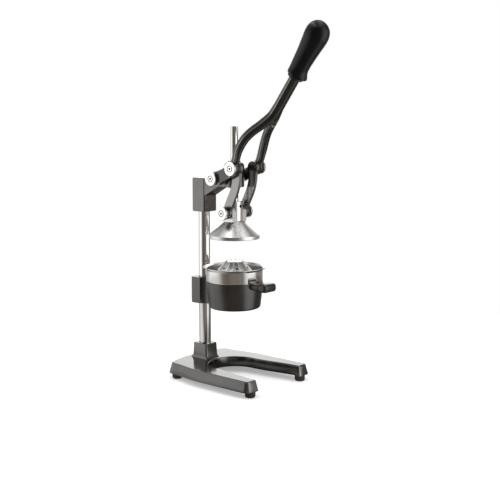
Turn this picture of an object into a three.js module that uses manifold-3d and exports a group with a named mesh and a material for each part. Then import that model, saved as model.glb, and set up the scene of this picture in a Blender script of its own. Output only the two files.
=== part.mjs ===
// Lever citrus press: a horseshoe base casting carries a round column, the head bracket on the
// column guides the plunger rod, and a forked lever drives the rod through two curved straps.
// Millimetres. X runs across the press, -Y is the side the user stands on, +Z is up. The plunger
// axis is X = 0, Y = 0 while the pieces are made; the finished press is then centred on its box.
import * as THREE from 'three';
import { mergeVertices } from 'three/addons/utils/BufferGeometryUtils.js';
import Module from 'manifold-3d';

const wasm = await Module();
wasm.setup();

const fit = { gap: 0.3, overrun: 2 };
const sides = { small: 12, medium: 14, large: 18, huge: 26 };
const holeSides = 6;

const rod = { radius: 8, length: 178, seatAboveDisc: 4.5, chamfer: 1, room: 1 };
const column = { radius: 12, length: 358, behindRod: 80.4, chamfer: 1 };

const foot = { radius: 9.9, baseRadius: 8.6, height: 11.2, step: 3, recess: 4.2 };
const footPlace = { frontX: 74, frontY: 104.1, backX: 69.3, backY: 90.6 };
const footScrew = { headRadius: 5.4, headHeight: 2.6, shankRadius: 2.4, hole: 9, edge: 1 };

const base = {
  height: 20.4, draft: 5.6, innerDraft: 2, roof: 6, wall: 5, legEnd: 109.7, back: 114, backDrop: 10,
  backHalf: 66, cornerHalf: 79, cornerBehind: 90, halfWidth: 88.5, straightFrom: 6, legCorner: 10,
  mouthHalf: 64.1, mouthCorner: 3, bayRadius: 52, edge: 2.4, padRadius: 8,
};
const socket = {
  height: 29.9, topX: 32, topY: 36, footX: 38, footY: 46, corner: 4, bossRadius: 21, web: 10.8,
};
const columnBolt = {
  washerRadius: 11, washer: 1.6, headRadius: 8.5, headHeight: 4.6, shankRadius: 4.6, hole: 22,
};
const grub = { radius: 3, length: 7, hex: 1.5, hexDepth: 2.5 };

const bracket = {
  width: 36, depth: 35, height: 67, grip: 53, corner: 2.5, armHalf: 17, armRise: 32.6, throat: 28,
  sleeveRadius: 19.3, sleeveDrop: 16.4, sleeveHeight: 48, sleeveRound: 8, crown: 6,
};
const bush = { radius: 10.6, length: 14, flangeRadius: 12.5, flange: 1.5 };

const fulcrum = { behindRod: 22, aboveBlock: 1.4, bossRadius: 13 };
const knee = { ahead: 50, rise: 20.9, eyeRadius: 13.7, waist: 22.5 };
const head = { radius: 13.6, thickness: 4.3, edge: 1, hex: 2.6, hexDepth: 2.4 };
const pivot = { radius: 6, wristRadius: 4, screwRadius: 3, screwLength: 12 };

const strap = { thickness: 6.2, eyeRadius: 12.2, width: 17.2, drop: 86.6 };
// how far the strap's middle lies ahead of its lower pivot, and how high, each as a share of the
// distance between its two pivots in that direction
const strapBendShares = [[0.98, 0.81], [0.88, 0.615], [0.69, 0.445], [0.42, 0.275]];
const stack = { sleeveToStrap: 1, strapToLever: 4, lever: 10, washerRadius: 12.6, wristSpacer: 7.2 };

const shaft = { radius: 9.8, length: 90, leanDeg: 54, studRadius: 6, stud: 62, studEdge: 1 };
const fork = { depth: 15.5, width: 11.5, crownDepth: 19, crownWidth: 15, intoShaft: 5 };
// along a tine, from the knee to the shaft: how far out, how far ahead and how far up
const tineShares = [
  [1, 0, 0], [1, 0.1, 0.16], [1, 0.19, 0.345], [0.86, 0.35, 0.56], [0.66, 0.515, 0.7],
  [0.34, 0.78, 0.857], [0.12, 1, 1],
];
// where along a tine it widens and swells, and its corner's share of the width at both ends
const tineWidenShares = [0.17, 0.4], tineSwellShares = [0.7, 1], tineCornerShares = [0.3, 0.48];
const crown = { ahead: 94, above: 114.6 };  // where the lever's shaft starts, from the fulcrum height
const ferrule = { radius: 15, height: 6.4, edge: 1.6 };
const grip = { length: 113, radius: 23.8, ahead: 2.2, leanDeg: 58.5, bore: 66 };
const gripWidthShare = 0.93;
// along the grip: how far up it, its half depth, and how far its middle is pushed to the front
const gripShares = [
  [0, 0.7, 0.0], [0.022, 0.8, 0.0], [0.05, 0.79, -0.02], [0.09, 0.74, -0.07], [0.15, 0.69, -0.1],
  [0.23, 0.705, -0.09], [0.33, 0.75, -0.065], [0.45, 0.82, -0.04], [0.56, 0.9, -0.02],
  [0.66, 0.96, 0.0], [0.75, 1.0, 0.01], [0.83, 0.96, 0.01], [0.9, 0.83, 0.0],
  [0.955, 0.6, -0.02], [0.99, 0.28, -0.05], [1, 0.0, -0.07],
];

const cup = {
  rimRadius: 49.8, band: 6.6, coneDrop: 27.5, discRadius: 19.4, discEdge: 1.2, hubRadius: 15.8,
  hubHeight: 38.8, wall: 3.6, roofRadius: 15.5, lugRadius: 12.8, hubAboveWrist: 22.6, grubBelow: 10,
};
const pot = {
  glassRoom: 111.8, height: 52.2, topRadius: 55.8, footRadius: 50.2, footRound: 5, wall: 3.4,
  floor: 5, floorFall: 4, outletRadius: 11,
};
const clamp = { halfWidth: 19, behind: 19.8, ahead: 4, corner: 2.5, webHalf: 10, webFrom: 60, flare: 2.4 };
const clampScrewShares = [0.26, 0.74];
const handle = {
  axisDrop: 5.4, reach: 92.5, width: 34, depth: 22.5, height: 14.4, round: 3.6, bevel: 2.4,
  rootWidth: 32, rootHeight: 11.4, screwRadius: 3, headRadius: 4.6, head: 1.6, screwLength: 19,
};
const strainer = {
  rimRadius: 61.7, lipHeight: 5.4, bandRadius: 56.4, height: 28, sheet: 1.6, seatRadius: 50.6,
  seatDepth: 4, holeRadius: 2.4, holeSpacing: 19, innerReach: 26, outerReach: 43,
};
const reamer = {
  baseRadius: 34, topRadius: 16, coneHeight: 18.9, wall: 2.6, ribFoot: 3.6, ribTop: 2.4, ribRise: 1.8,
  tip: 1.3, holeRadius: 1.6, holeReach: 27, belowRim: 8.6, bossRadius: 6.4,
};
const reamerRibs = 12, reamerDrains = 6;
const reamerScrew = { radius: 3, length: 14, head: 3, headRadius: 5.5 };

// Heights and places worked out from the sizes
const baseTop = foot.height + base.height;
const blockTop = baseTop + socket.height;
const columnFoot = foot.height + socket.web;
const columnTop = columnFoot + column.length;
const bracketFoot = columnTop - bracket.grip;
const bracketTop = bracketFoot + bracket.height;
const fulcrumAt = { y: fulcrum.behindRod, z: bracketTop + fulcrum.aboveBlock };
const linkAt = { y: fulcrumAt.y - knee.ahead, z: fulcrumAt.z + knee.rise };
const wristAt = { y: 0, z: linkAt.z - strap.drop };
const sleeveFoot = fulcrumAt.z - bracket.sleeveDrop;
const sleeveTop = sleeveFoot + bracket.sleeveHeight;
const hubTop = wristAt.z + cup.hubAboveWrist;
const discTop = hubTop - cup.hubHeight;
const rimTop = discTop - cup.coneDrop;
const rimFoot = rimTop - cup.band;
const rodFoot = discTop + rod.seatAboveDisc;
const potFoot = baseTop + pot.glassRoom;
const potTop = potFoot + pot.height;
const strainerSeat = potTop + fit.gap;
const strainerTop = strainerSeat + strainer.height;
const reamerBase = strainerTop - reamer.belowRim;

// outward from the middle plane: strap, washer, lever, screw head
const strapIn = bracket.sleeveRadius + stack.sleeveToStrap;
const strapOut = strapIn + strap.thickness;
const leverIn = strapOut + stack.strapToLever;
const leverOut = leverIn + stack.lever;
const leverMid = (leverIn + leverOut) / 2;
const lugEnd = strapIn - fit.gap;
const cupGrubHeight = hubTop - cup.grubBelow;
const handleHeight = potTop - handle.axisDrop;
const bossEnd = strapOut - fit.gap;
const bracketGrubHeights = [0.3, 0.7].map((share) => bracketFoot + bracket.grip * share);

function solid(geometry) {
  const bare = geometry.clone();
  bare.deleteAttribute('normal');
  bare.deleteAttribute('uv');
  const joined = mergeVertices(bare);
  const kept = [];
  for (let i = 0; i < joined.index.count; i += 3) {
    const [a, b, c] = [joined.index.getX(i), joined.index.getX(i + 1), joined.index.getX(i + 2)];
    if (a !== b && b !== c && c !== a) kept.push(a, b, c);
  }
  const places = joined.attributes.position.array;
  if (volume(places, kept) < 0) kept.reverse();
  return new wasm.Manifold(new wasm.Mesh({
    numProp: 3, vertProperties: new Float32Array(places), triVerts: new Uint32Array(kept),
  }));
}

function volume(places, triangles) {
  let sum = 0;
  const corner = (i) => new THREE.Vector3().fromArray(places, 3 * triangles[i]);
  for (let i = 0; i < triangles.length; i += 3) sum += corner(i).dot(corner(i + 1).cross(corner(i + 2)));
  return sum;
}

function placed(geometry, x, y, z) {
  return solid(geometry.translate(x, y, z));
}

// a body turned about Z from [radius, height] pairs
function turned(profile, count) {
  const points = profile.map(([r, z]) => new THREE.Vector2(r, z));
  return solid(new THREE.LatheGeometry(points, count).rotateX(Math.PI / 2));
}

function turnedAt(profile, count, x, y) {
  const points = profile.map(([r, z]) => new THREE.Vector2(r, z));
  return placed(new THREE.LatheGeometry(points, count).rotateX(Math.PI / 2), x, y, 0);
}

// a body turned about a line along X, from [radius, x] pairs
function turnedAcross(profile, count, y, z) {
  const points = profile.map(([r, x]) => new THREE.Vector2(r, x));
  return placed(new THREE.LatheGeometry(points, count).rotateZ(-Math.PI / 2), 0, y, z);
}

function pinAcross(radius, from, to, y, z, count = sides.small) {
  return turnedAcross([[0, from], [radius, from], [radius, to], [0, to]], count, y, z);
}

function post(radius, from, to, x, y, count = sides.small) {
  return turnedAt([[0, from], [radius, from], [radius, to], [0, to]], count, x, y);
}

// a pin along Y
function pinAlong(radius, from, to, x, z, count = sides.small) {
  const profile = [[0, from], [radius, from], [radius, to], [0, to]];
  const points = profile.map(([r, y]) => new THREE.Vector2(r, y));
  return placed(new THREE.LatheGeometry(points, count), x, 0, z);
}

// an outline in the upright plane (y, z), thick along X from one x to another
function plate(outline, from, to) {
  const geometry = new THREE.ExtrudeGeometry(outline, {
    depth: to - from, bevelEnabled: false, curveSegments: 6,
  });
  const turn = new THREE.Matrix4().makeBasis(
    new THREE.Vector3(0, 1, 0), new THREE.Vector3(0, 0, 1), new THREE.Vector3(1, 0, 0));
  return placed(geometry.applyMatrix4(turn), from, 0, 0);
}

function roundedRectangle(width, depth, corner) {
  const [w, d, c] = [width / 2, depth / 2, corner];
  const shape = new THREE.Shape();
  shape.moveTo(-w + c, -d);
  shape.lineTo(w - c, -d);
  shape.absarc(w - c, -d + c, c, -Math.PI / 2, 0);
  shape.lineTo(w, d - c);
  shape.absarc(w - c, d - c, c, 0, Math.PI / 2);
  shape.lineTo(-w + c, d);
  shape.absarc(-w + c, d - c, c, Math.PI / 2, Math.PI);
  shape.lineTo(-w, -d + c);
  shape.absarc(-w + c, -d + c, c, Math.PI, 1.5 * Math.PI);
  return shape;
}

// rings of points, each joined to the next, with both ends closed flat
function loft(rings, capTriangles) {
  const count = rings[0].length;
  const places = rings.flat().flatMap((p) => [p.x, p.y, p.z]);
  const faces = [];
  for (let r = 0; r + 1 < rings.length; r++) {
    for (let i = 0; i < count; i++) {
      const [a, b] = [r * count + i, r * count + (i + 1) % count];
      faces.push(a, b, b + count, a, b + count, a + count);
    }
  }
  const last = (rings.length - 1) * count;
  for (const [a, b, c] of capTriangles) faces.push(c, b, a, last + a, last + b, last + c);
  const geometry = new THREE.BufferGeometry();
  geometry.setAttribute('position', new THREE.Float32BufferAttribute(places, 3));
  geometry.setIndex(faces);
  return solid(geometry);
}

function fan(count) {
  return Array.from({ length: count - 2 }, (_, i) => [0, i + 1, i + 2]);
}

function level(outline, z) {
  return outline.map((p) => new THREE.Vector3(p.x, p.y, z));
}

// the outline moved outward along its own normals
function grown(outline, amount) {
  return outline.map((p, i) => {
    const before = outline.at(i - 1), after = outline[(i + 1) % outline.length];
    const d1 = p.clone().sub(before).normalize(), d2 = after.clone().sub(p).normalize();
    const n1 = new THREE.Vector2(d1.y, -d1.x), n2 = new THREE.Vector2(d2.y, -d2.x);
    const n = n1.clone().add(n2).normalize();
    return p.clone().addScaledVector(n, amount(p) / n.dot(n1));
  });
}

function mirrored(body) {
  return body.mirror([1, 0, 0]);
}

function joined(...bodies) {
  return bodies.reduce((sum, body) => sum.add(body));
}

const casting = new THREE.MeshStandardMaterial({ color: 0x6e6d6a, roughness: 0.42, metalness: 0.55 });
const darkCasting = new THREE.MeshStandardMaterial({ color: 0x4a4946, roughness: 0.5, metalness: 0.45 });
const satinLink = new THREE.MeshStandardMaterial({ color: 0xa6a29e, roughness: 0.35, metalness: 0.85 });
const polished = new THREE.MeshStandardMaterial({ color: 0xd6d4d1, roughness: 0.12, metalness: 1 });
const bright = new THREE.MeshStandardMaterial({ color: 0xf2f1ee, roughness: 0.1, metalness: 1 });
const satinCast = new THREE.MeshStandardMaterial({ color: 0xc4c4c2, roughness: 0.34, metalness: 0.95 });
const stainless = new THREE.MeshStandardMaterial({ color: 0xd8d4ce, roughness: 0.22, metalness: 1 });
const blackGrip = new THREE.MeshStandardMaterial({ color: 0x17171a, roughness: 0.18, metalness: 0 });
const blackRubber = new THREE.MeshStandardMaterial({ color: 0x232321, roughness: 0.85, metalness: 0 });
const bronze = new THREE.MeshStandardMaterial({ color: 0xb08a52, roughness: 0.4, metalness: 0.9 });
const blackSteel = new THREE.MeshStandardMaterial({ color: 0x26262a, roughness: 0.45, metalness: 0.7 });

// The base's outline: half of the horseshoe from the middle of the back round the outside of a leg
// and back along the bay, then its mirror image. An inset draws every wall in by the same amount.
function horseshoe(inset) {
  const back = base.back - inset, corner = base.cornerHalf - inset, half = base.halfWidth - inset;
  const end = base.legEnd - inset, mouth = base.mouthHalf + inset, bay = base.bayRadius + inset;
  const shape = new THREE.Shape();
  shape.moveTo(0, back);
  shape.quadraticCurveTo(base.backHalf / 2, back, base.backHalf - inset, back - base.backDrop);
  const behind = base.cornerBehind - inset;
  shape.quadraticCurveTo(corner, behind + base.backDrop, corner, behind);
  shape.bezierCurveTo(
    corner, base.cornerBehind * 2 / 3, half, base.cornerBehind / 2, half, base.straightFrom);
  shape.lineTo(half, -end + base.legCorner);
  shape.quadraticCurveTo(half, -end, half - base.legCorner, -end);
  shape.lineTo(mouth + base.mouthCorner, -end);
  shape.quadraticCurveTo(mouth, -end, mouth, -end + base.mouthCorner);
  shape.bezierCurveTo(mouth, -end * 2 / 3, bay, -end / 3, bay, 0);
  shape.absarc(0, 0, bay, 0, Math.PI / 2);
  const drawn = shape.getPoints(5);
  const kept = drawn.filter((p, i) => i === 0 || p.distanceTo(drawn[i - 1]) > fit.gap);
  const other = kept.slice(1, -1).map((p) => new THREE.Vector2(-p.x, p.y)).reverse();
  return kept.concat(other).reverse();
}

// the walls lean out towards the floor, more on the outside than along the bay
function lean(inset) {
  const bay = base.mouthHalf + inset + fit.gap;
  return (p) => (Math.hypot(p.x, Math.max(0, p.y)) < bay ? base.innerDraft : base.draft);
}

const footSpots = [
  ['front_left', -footPlace.frontX, -footPlace.frontY],
  ['front_right', footPlace.frontX, -footPlace.frontY],
  ['back_left', -footPlace.backX, footPlace.backY],
  ['back_right', footPlace.backX, footPlace.backY],
];
const bossFoot = foot.height + columnBolt.washer + columnBolt.headHeight;
const boltBore = columnBolt.shankRadius + fit.gap;
const padBore = footScrew.shankRadius + fit.gap;
const columnBore = column.radius + fit.gap;
const grubBore = grub.radius + fit.gap;
const socketGrubHeight = baseTop + socket.height / 2;

function baseShell() {
  const top = horseshoe(0);
  const caps = THREE.ShapeUtils.triangulateShape(top, []);
  const edgeShares = [[0, 1], [0.3, 0.3], [1, 0]];
  const rounded = edgeShares.map(([inward, below]) => (
    level(grown(top, () => -base.edge * inward), baseTop - base.edge * below)));
  return loft([level(grown(top, lean(0)), foot.height), ...rounded], caps);
}

function baseHollow() {
  const roof = horseshoe(base.wall);
  const caps = THREE.ShapeUtils.triangulateShape(roof, []);
  const mouth = grown(roof, lean(base.wall));
  return loft([
    level(mouth, foot.height - fit.overrun), level(mouth, foot.height), level(roof, baseTop - base.roof),
  ], caps);
}

function socketBlock() {
  const rings = [[0, 0], [0.07, 0.45], [0.2, 0.75], [1, 1]].map(([up, drawnIn]) => {
    const width = socket.footX + (socket.topX - socket.footX) * drawnIn;
    const depth = socket.footY + (socket.topY - socket.footY) * drawnIn;
    const ring = roundedRectangle(width, depth, socket.corner).getPoints(3);
    return ring.slice(0, -1).map((p) => (
      new THREE.Vector3(p.x, p.y + column.behindRod, baseTop - fit.gap + (socket.height + fit.gap) * up)));
  });
  return loft(rings, fan(rings[0].length));
}

function baseCasting() {
  const shell = baseShell();
  const posts = footSpots.map(([, x, y]) => post(base.padRadius, foot.height, baseTop - fit.gap, x, y));
  const boss = post(socket.bossRadius, bossFoot, baseTop - fit.gap, 0, column.behindRod, sides.medium);
  const inside = joined(boss, ...posts).intersect(shell);
  let body = joined(shell.subtract(baseHollow()), inside, socketBlock());
  for (const [, x, y] of footSpots) {
    body = body.subtract(post(padBore, foot.height - fit.overrun, foot.height + footScrew.hole, x, y));
  }
  const bores = joined(
    post(columnBore, columnFoot - fit.gap, blockTop + fit.overrun, 0, column.behindRod, sides.medium),
    post(boltBore, bossFoot - fit.overrun, columnFoot + fit.overrun, 0, column.behindRod),
    pinAlong(grubBore, column.behindRod, column.behindRod + socket.footY, 0, socketGrubHeight));
  return body.subtract(bores);
}

function rubberFoot(x, y) {
  const recess = footScrew.headRadius + fit.gap, bore = footScrew.shankRadius + fit.gap;
  const top = foot.height - fit.gap;
  return turnedAt([
    [recess, 0], [foot.baseRadius, 0], [foot.radius, foot.step], [foot.radius, top],
    [bore, top], [bore, foot.recess], [recess, foot.recess], [recess, 0],
  ], sides.small, x, y);
}

function footScrewAt(x, y) {
  const seat = foot.recess - fit.gap, face = seat - footScrew.headHeight;
  const shankEnd = foot.height + footScrew.hole - fit.gap;
  return turnedAt([
    [0, face], [footScrew.headRadius - footScrew.edge, face],
    [footScrew.headRadius, face + footScrew.edge], [footScrew.headRadius, seat],
    [footScrew.shankRadius, seat], [footScrew.shankRadius, shankEnd], [0, shankEnd],
  ], sides.small, x, y);
}

function columnBar() {
  const inner = column.radius - column.chamfer;
  const bar = turnedAt([
    [0, columnFoot], [inner, columnFoot], [column.radius, columnFoot + column.chamfer],
    [column.radius, columnTop - column.chamfer], [inner, columnTop], [0, columnTop],
  ], sides.medium, 0, column.behindRod);
  const thread = [columnFoot - fit.overrun, columnFoot + columnBolt.hole];
  return bar.subtract(post(boltBore, ...thread, 0, column.behindRod));
}

const boltSeat = bossFoot - fit.gap - columnBolt.washer - fit.gap;

function columnBoltBody() {
  const { headRadius, headHeight } = columnBolt;
  const hexagon = new THREE.CylinderGeometry(headRadius, headRadius, headHeight, 6).rotateX(Math.PI / 2);
  const top = placed(hexagon, 0, column.behindRod, boltSeat - headHeight / 2);
  const shankEnd = columnFoot + columnBolt.hole - fit.gap;
  return top.add(post(columnBolt.shankRadius, boltSeat - fit.gap, shankEnd, 0, column.behindRod));
}

function flatRing(bore, radius, from, to, x, y) {
  const profile = [[bore, from], [radius, from], [radius, to], [bore, to], [bore, from]];
  return turnedAt(profile, sides.medium, x, y);
}

// a ring between two x, seen from the side as a washer on a pivot
function ringAcross(bore, radius, from, to, at) {
  const profile = [[bore, from], [radius, from], [radius, to], [bore, to], [bore, from]];
  return turnedAcross(profile, sides.medium, at.y, at.z);
}

// a grub screw along Y: its point at one end and a hexagon socket at the end it's turned from
function grubScrew(point, outward, x, z) {
  const end = point + outward * grub.length;
  const body = pinAlong(grub.radius, Math.min(point, end), Math.max(point, end), x, z);
  const hexagon = new THREE.CylinderGeometry(grub.hex, grub.hex, grub.hexDepth * 2, 6);
  return body.subtract(placed(hexagon, x, end, z));
}

// where a set screw's point stands off a round bar at this place, on the back or the front
function pointOff(radius, y, outward) {
  return y + outward * (radius + fit.gap);
}

const bracketBack = column.behindRod + bracket.depth / 2;
const bracketFront = column.behindRod - bracket.depth / 2;

function bracketArm() {
  const arm = new THREE.Shape();
  const inBlock = column.behindRod, top = fulcrumAt.z + bracket.crown;
  arm.moveTo(inBlock, bracketFoot + bracket.armRise - bracket.corner);
  arm.lineTo(bracketFront, bracketFoot + bracket.armRise);
  arm.lineTo(bracket.throat, sleeveFoot);
  arm.lineTo(0, sleeveFoot);
  arm.lineTo(0, top);
  arm.lineTo(fulcrumAt.y, top);
  arm.quadraticCurveTo(
    bracketFront - bracket.throat / 2, bracketTop, bracketFront + bracket.corner, bracketTop);
  arm.lineTo(inBlock, bracketTop);
  return plate(arm, -bracket.armHalf, bracket.armHalf);
}

// part of a rounded shoulder: from straight up the side to flat on top
function shoulder(outer, from, across, up) {
  const steps = 4;
  return Array.from({ length: steps }, (_, i) => {
    const angle = i / steps * Math.PI / 2;
    return [outer - across + across * Math.cos(angle), from + up * Math.sin(angle)];
  });
}

function headBracket() {
  const shape = roundedRectangle(bracket.width, bracket.depth, bracket.corner);
  const block = new THREE.ExtrudeGeometry(shape, {
    depth: bracket.height, bevelEnabled: false, curveSegments: 3,
  });
  const round = bracket.sleeveRound, across = bracket.sleeveRadius - bush.flangeRadius - fit.gap;
  const sleeve = turned([
    [0, sleeveFoot], [bracket.sleeveRadius, sleeveFoot],
    ...shoulder(bracket.sleeveRadius, sleeveTop - round, across, round),
    [bracket.sleeveRadius - across, sleeveTop], [0, sleeveTop],
  ], sides.large);
  const boss = pinAcross(fulcrum.bossRadius, -bossEnd, bossEnd, fulcrumAt.y, fulcrumAt.z, sides.medium);
  const body = joined(placed(block, 0, column.behindRod, bracketFoot), bracketArm(), sleeve, boss);
  const bushBore = bush.radius + fit.gap, bushEnd = bush.length + fit.gap;
  const axleBore = pivot.radius + fit.gap;
  const screwHoles = bracketGrubHeights.map((z) => (
    pinAlong(grubBore, column.behindRod, bracketBack + fit.overrun, 0, z)));
  return body.subtract(joined(
    post(columnBore, bracketFoot - fit.overrun, columnTop + fit.gap, 0, column.behindRod, sides.medium),
    post(rod.radius + rod.room, sleeveFoot - fit.overrun, sleeveTop + fit.overrun, 0, 0, sides.medium),
    post(bushBore, sleeveFoot - fit.overrun, sleeveFoot + bushEnd, 0, 0, sides.medium),
    post(bushBore, sleeveTop - bushEnd, sleeveTop + fit.overrun, 0, 0, sides.medium),
    pinAcross(axleBore, -leverIn, leverIn, fulcrumAt.y, fulcrumAt.z), ...screwHoles));
}

// a flanged bush whose flange sits outside the sleeve's end; outward is -1 below and 1 above
function sleeveBush(end, outward) {
  const bore = rod.radius + fit.gap, seat = end + outward * fit.gap;
  const face = seat + outward * bush.flange, deep = end - outward * bush.length;
  return turned([
    [bore, deep], [bush.radius, deep], [bush.radius, seat], [bush.flangeRadius, seat],
    [bush.flangeRadius, face], [bore, face], [bore, deep],
  ], sides.medium);
}

function plungerRod() {
  const inner = rod.radius - rod.chamfer, top = rodFoot + rod.length;
  const bar = turned([
    [0, rodFoot], [inner, rodFoot], [rod.radius, rodFoot + rod.chamfer],
    [rod.radius, top - rod.chamfer], [inner, top], [0, top],
  ], sides.medium);
  return bar.subtract(pinAcross(pivot.wristRadius + fit.gap, -rod.length, rod.length, 0, wristAt.z));
}

// Press cup: rim, cone, flat top, hub and the cross lug for the wrist pin, all one casting
function pressCup() {
  const rimInner = cup.rimRadius - cup.wall, roof = discTop - cup.wall;
  const outside = turned([
    [0, rimFoot], [cup.rimRadius - cup.discEdge, rimFoot], [cup.rimRadius, rimFoot + cup.discEdge],
    [cup.rimRadius, rimTop - cup.discEdge], [cup.rimRadius - cup.discEdge, rimTop],
    [cup.discRadius, discTop - cup.discEdge], [cup.discRadius - cup.discEdge, discTop],
    [cup.hubRadius, discTop], [cup.hubRadius, hubTop - cup.discEdge],
    [cup.hubRadius - cup.discEdge, hubTop], [0, hubTop],
  ], sides.huge);
  const hollow = turned([
    [0, rimFoot - fit.overrun], [rimInner, rimFoot - fit.overrun], [rimInner, rimTop - cup.wall / 2],
    [cup.roofRadius, roof], [0, roof],
  ], sides.huge);
  const lug = new THREE.Shape();
  lug.moveTo(-cup.lugRadius, discTop - cup.discEdge);
  lug.lineTo(cup.lugRadius, discTop - cup.discEdge);
  lug.lineTo(cup.lugRadius, wristAt.z);
  lug.absarc(0, wristAt.z, cup.lugRadius, 0, Math.PI);
  const body = joined(outside, plate(lug, -lugEnd, lugEnd));
  return body.subtract(joined(
    hollow, post(rod.radius + fit.gap, rodFoot - fit.gap, hubTop + fit.overrun, 0, 0, sides.medium),
    pinAcross(pivot.wristRadius + fit.gap, -leverIn, leverIn, 0, wristAt.z),
    pinAlong(grubBore, -cup.rimRadius, 0, 0, cupGrubHeight)));
}

// Straps: two curved links, one outside each end of the lug
function strapPath() {
  const ahead = wristAt.y - linkAt.y, rise = linkAt.z - wristAt.z;
  const bend = strapBendShares.map(([a, u]) => (
    new THREE.Vector3(0, wristAt.y - ahead * a, wristAt.z + rise * u)));
  return new THREE.CatmullRomCurve3([
    new THREE.Vector3(0, linkAt.y, linkAt.z), ...bend, new THREE.Vector3(0, wristAt.y, wristAt.z)]);
}

// a band of this half width along a path in the upright plane, as an outline
function band(path, half, steps) {
  const edge = (side) => Array.from({ length: steps + 1 }, (_, i) => {
    const p = path.getPoint(i / steps), t = path.getTangent(i / steps);
    return new THREE.Vector2(p.y - side * t.z * half, p.z + side * t.y * half);
  });
  return new THREE.Shape([...edge(1), ...edge(-1).reverse()]);
}

function strapBody(side) {
  const link = plate(band(strapPath(), strap.width / 2, 8), strapIn, strapOut);
  const eyes = [linkAt, wristAt].map((p) => (
    pinAcross(strap.eyeRadius, strapIn, strapOut, p.y, p.z, sides.large)));
  const holes = [linkAt, wristAt].map((p) => (
    pinAcross(pivot.radius + fit.gap, strapIn - fit.overrun, strapOut + fit.overrun, p.y, p.z)));
  const body = joined(link, ...eyes).subtract(joined(...holes));
  return side < 0 ? mirrored(body) : body;
}

// a polished screw head with a hexagon socket, its underside at this x
function headDisc(x, at) {
  const face = x + head.thickness;
  const disc = turnedAcross([
    [0, x], [head.radius, x], [head.radius, face - head.edge], [head.radius - head.edge, face],
    [0, face],
  ], sides.large, at.y, at.z);
  const hexagon = new THREE.CylinderGeometry(head.hex, head.hex, head.hexDepth * 2, 6);
  return disc.subtract(placed(hexagon.rotateZ(Math.PI / 2), face, at.y, at.z));
}

// a head with its shank, which runs from under the head inward
function headedScrew(x, shankRadius, shankEnd, at, side) {
  const shank = pinAcross(shankRadius, shankEnd, x + head.edge, at.y, at.z);
  const body = headDisc(x, at).add(shank);
  return side < 0 ? mirrored(body) : body;
}

function washer(from, to, at, side) {
  const body = ringAcross(pivot.radius + fit.gap, stack.washerRadius, from, to, at);
  return side < 0 ? mirrored(body) : body;
}

function fulcrumAxle() {
  const bar = pinAcross(pivot.radius, -leverOut, leverOut, fulcrumAt.y, fulcrumAt.z);
  const hole = pinAcross(
    pivot.screwRadius + fit.gap, leverOut - pivot.screwLength - fit.gap, leverOut + fit.overrun,
    fulcrumAt.y, fulcrumAt.z);
  return bar.subtract(joined(hole, mirrored(hole)));
}

// Lever: two side plates with the pivot eyes, two tines that close to a crown, and the shaft
function shaftPoint(along, leanDeg = shaft.leanDeg) {
  const angle = THREE.MathUtils.degToRad(leanDeg);
  return new THREE.Vector3(0, -along * Math.cos(angle), along * Math.sin(angle));
}

const crownAt = new THREE.Vector3(0, -crown.ahead, fulcrumAt.z + crown.above);

// a cylinder round the shaft's line, from one distance along it to another
function alongShaft(profile, count) {
  const points = profile.map(([r, along]) => new THREE.Vector2(r, along));
  const geometry = new THREE.LatheGeometry(points, count);
  const turn = new THREE.Quaternion().setFromUnitVectors(new THREE.Vector3(0, 1, 0), shaftPoint(1));
  return placed(geometry.applyQuaternion(turn), crownAt.x, crownAt.y, crownAt.z);
}

// a share of the way from one value to another that starts and ends gently
function eased(share, from, to, start, end) {
  return THREE.MathUtils.lerp(from, to, THREE.MathUtils.smoothstep(share, start, end));
}

function tine() {
  const end = crownAt.clone().add(shaftPoint(fork.intoShaft));
  const ahead = linkAt.y - end.y, rise = end.z - linkAt.z;
  const path = new THREE.CatmullRomCurve3(tineShares.map(([out, forward, up]) => (
    new THREE.Vector3(leverMid * out, linkAt.y - ahead * forward, linkAt.z + rise * up))));
  const steps = 10;
  const rings = Array.from({ length: steps + 1 }, (_, i) => {
    const u = i / steps, p = path.getPoint(u), t = path.getTangent(u);
    const front = new THREE.Vector3().crossVectors(new THREE.Vector3(1, 0, 0), t).normalize();
    const side = new THREE.Vector3().crossVectors(t, front).normalize();
    const plain = eased(u, stack.lever, fork.width, ...tineWidenShares);
    const width = eased(u, plain, fork.crownWidth, ...tineSwellShares);
    const depth = eased(u, fork.depth, fork.crownDepth, ...tineSwellShares);
    const corner = width * eased(u, ...tineCornerShares, ...tineSwellShares);
    const outline = roundedRectangle(width, depth, corner).getPoints(2);
    return outline.slice(0, -1).map((q) => (
      p.clone().addScaledVector(side, q.x).addScaledVector(front, q.y)));
  });
  return loft(rings, fan(rings[0].length));
}

// the side plate: an eye on each pivot, with a straight lower edge and a waisted upper one
function kneePlate() {
  const along = new THREE.Vector2(linkAt.y - fulcrumAt.y, linkAt.z - fulcrumAt.z);
  const length = along.length(), u = along.clone().normalize(), up = new THREE.Vector2(-u.y, u.x);
  const at = (a, h) => new THREE.Vector2(fulcrumAt.y, fulcrumAt.z)
    .addScaledVector(u, a).addScaledVector(up, -h);
  const r = knee.eyeRadius, waist = knee.waist - r;
  const shape = new THREE.Shape([at(0, -r), at(length, -r)]);
  const [a, b, c] = [at(length, r), at(length / 2, 2 * waist - r), at(0, r)];
  shape.lineTo(a.x, a.y);
  shape.quadraticCurveTo(b.x, b.y, c.x, c.y);
  const bar = plate(shape, leverIn, leverOut);
  const eye = (p) => pinAcross(knee.eyeRadius, leverIn, leverOut, p.y, p.z, sides.large);
  const hole = (p) => (
    pinAcross(pivot.radius + fit.gap, leverIn - fit.overrun, leverOut + fit.overrun, p.y, p.z));
  return {
    body: joined(bar, eye(fulcrumAt), eye(linkAt)), holes: joined(hole(fulcrumAt), hole(linkAt)),
  };
}

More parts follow.
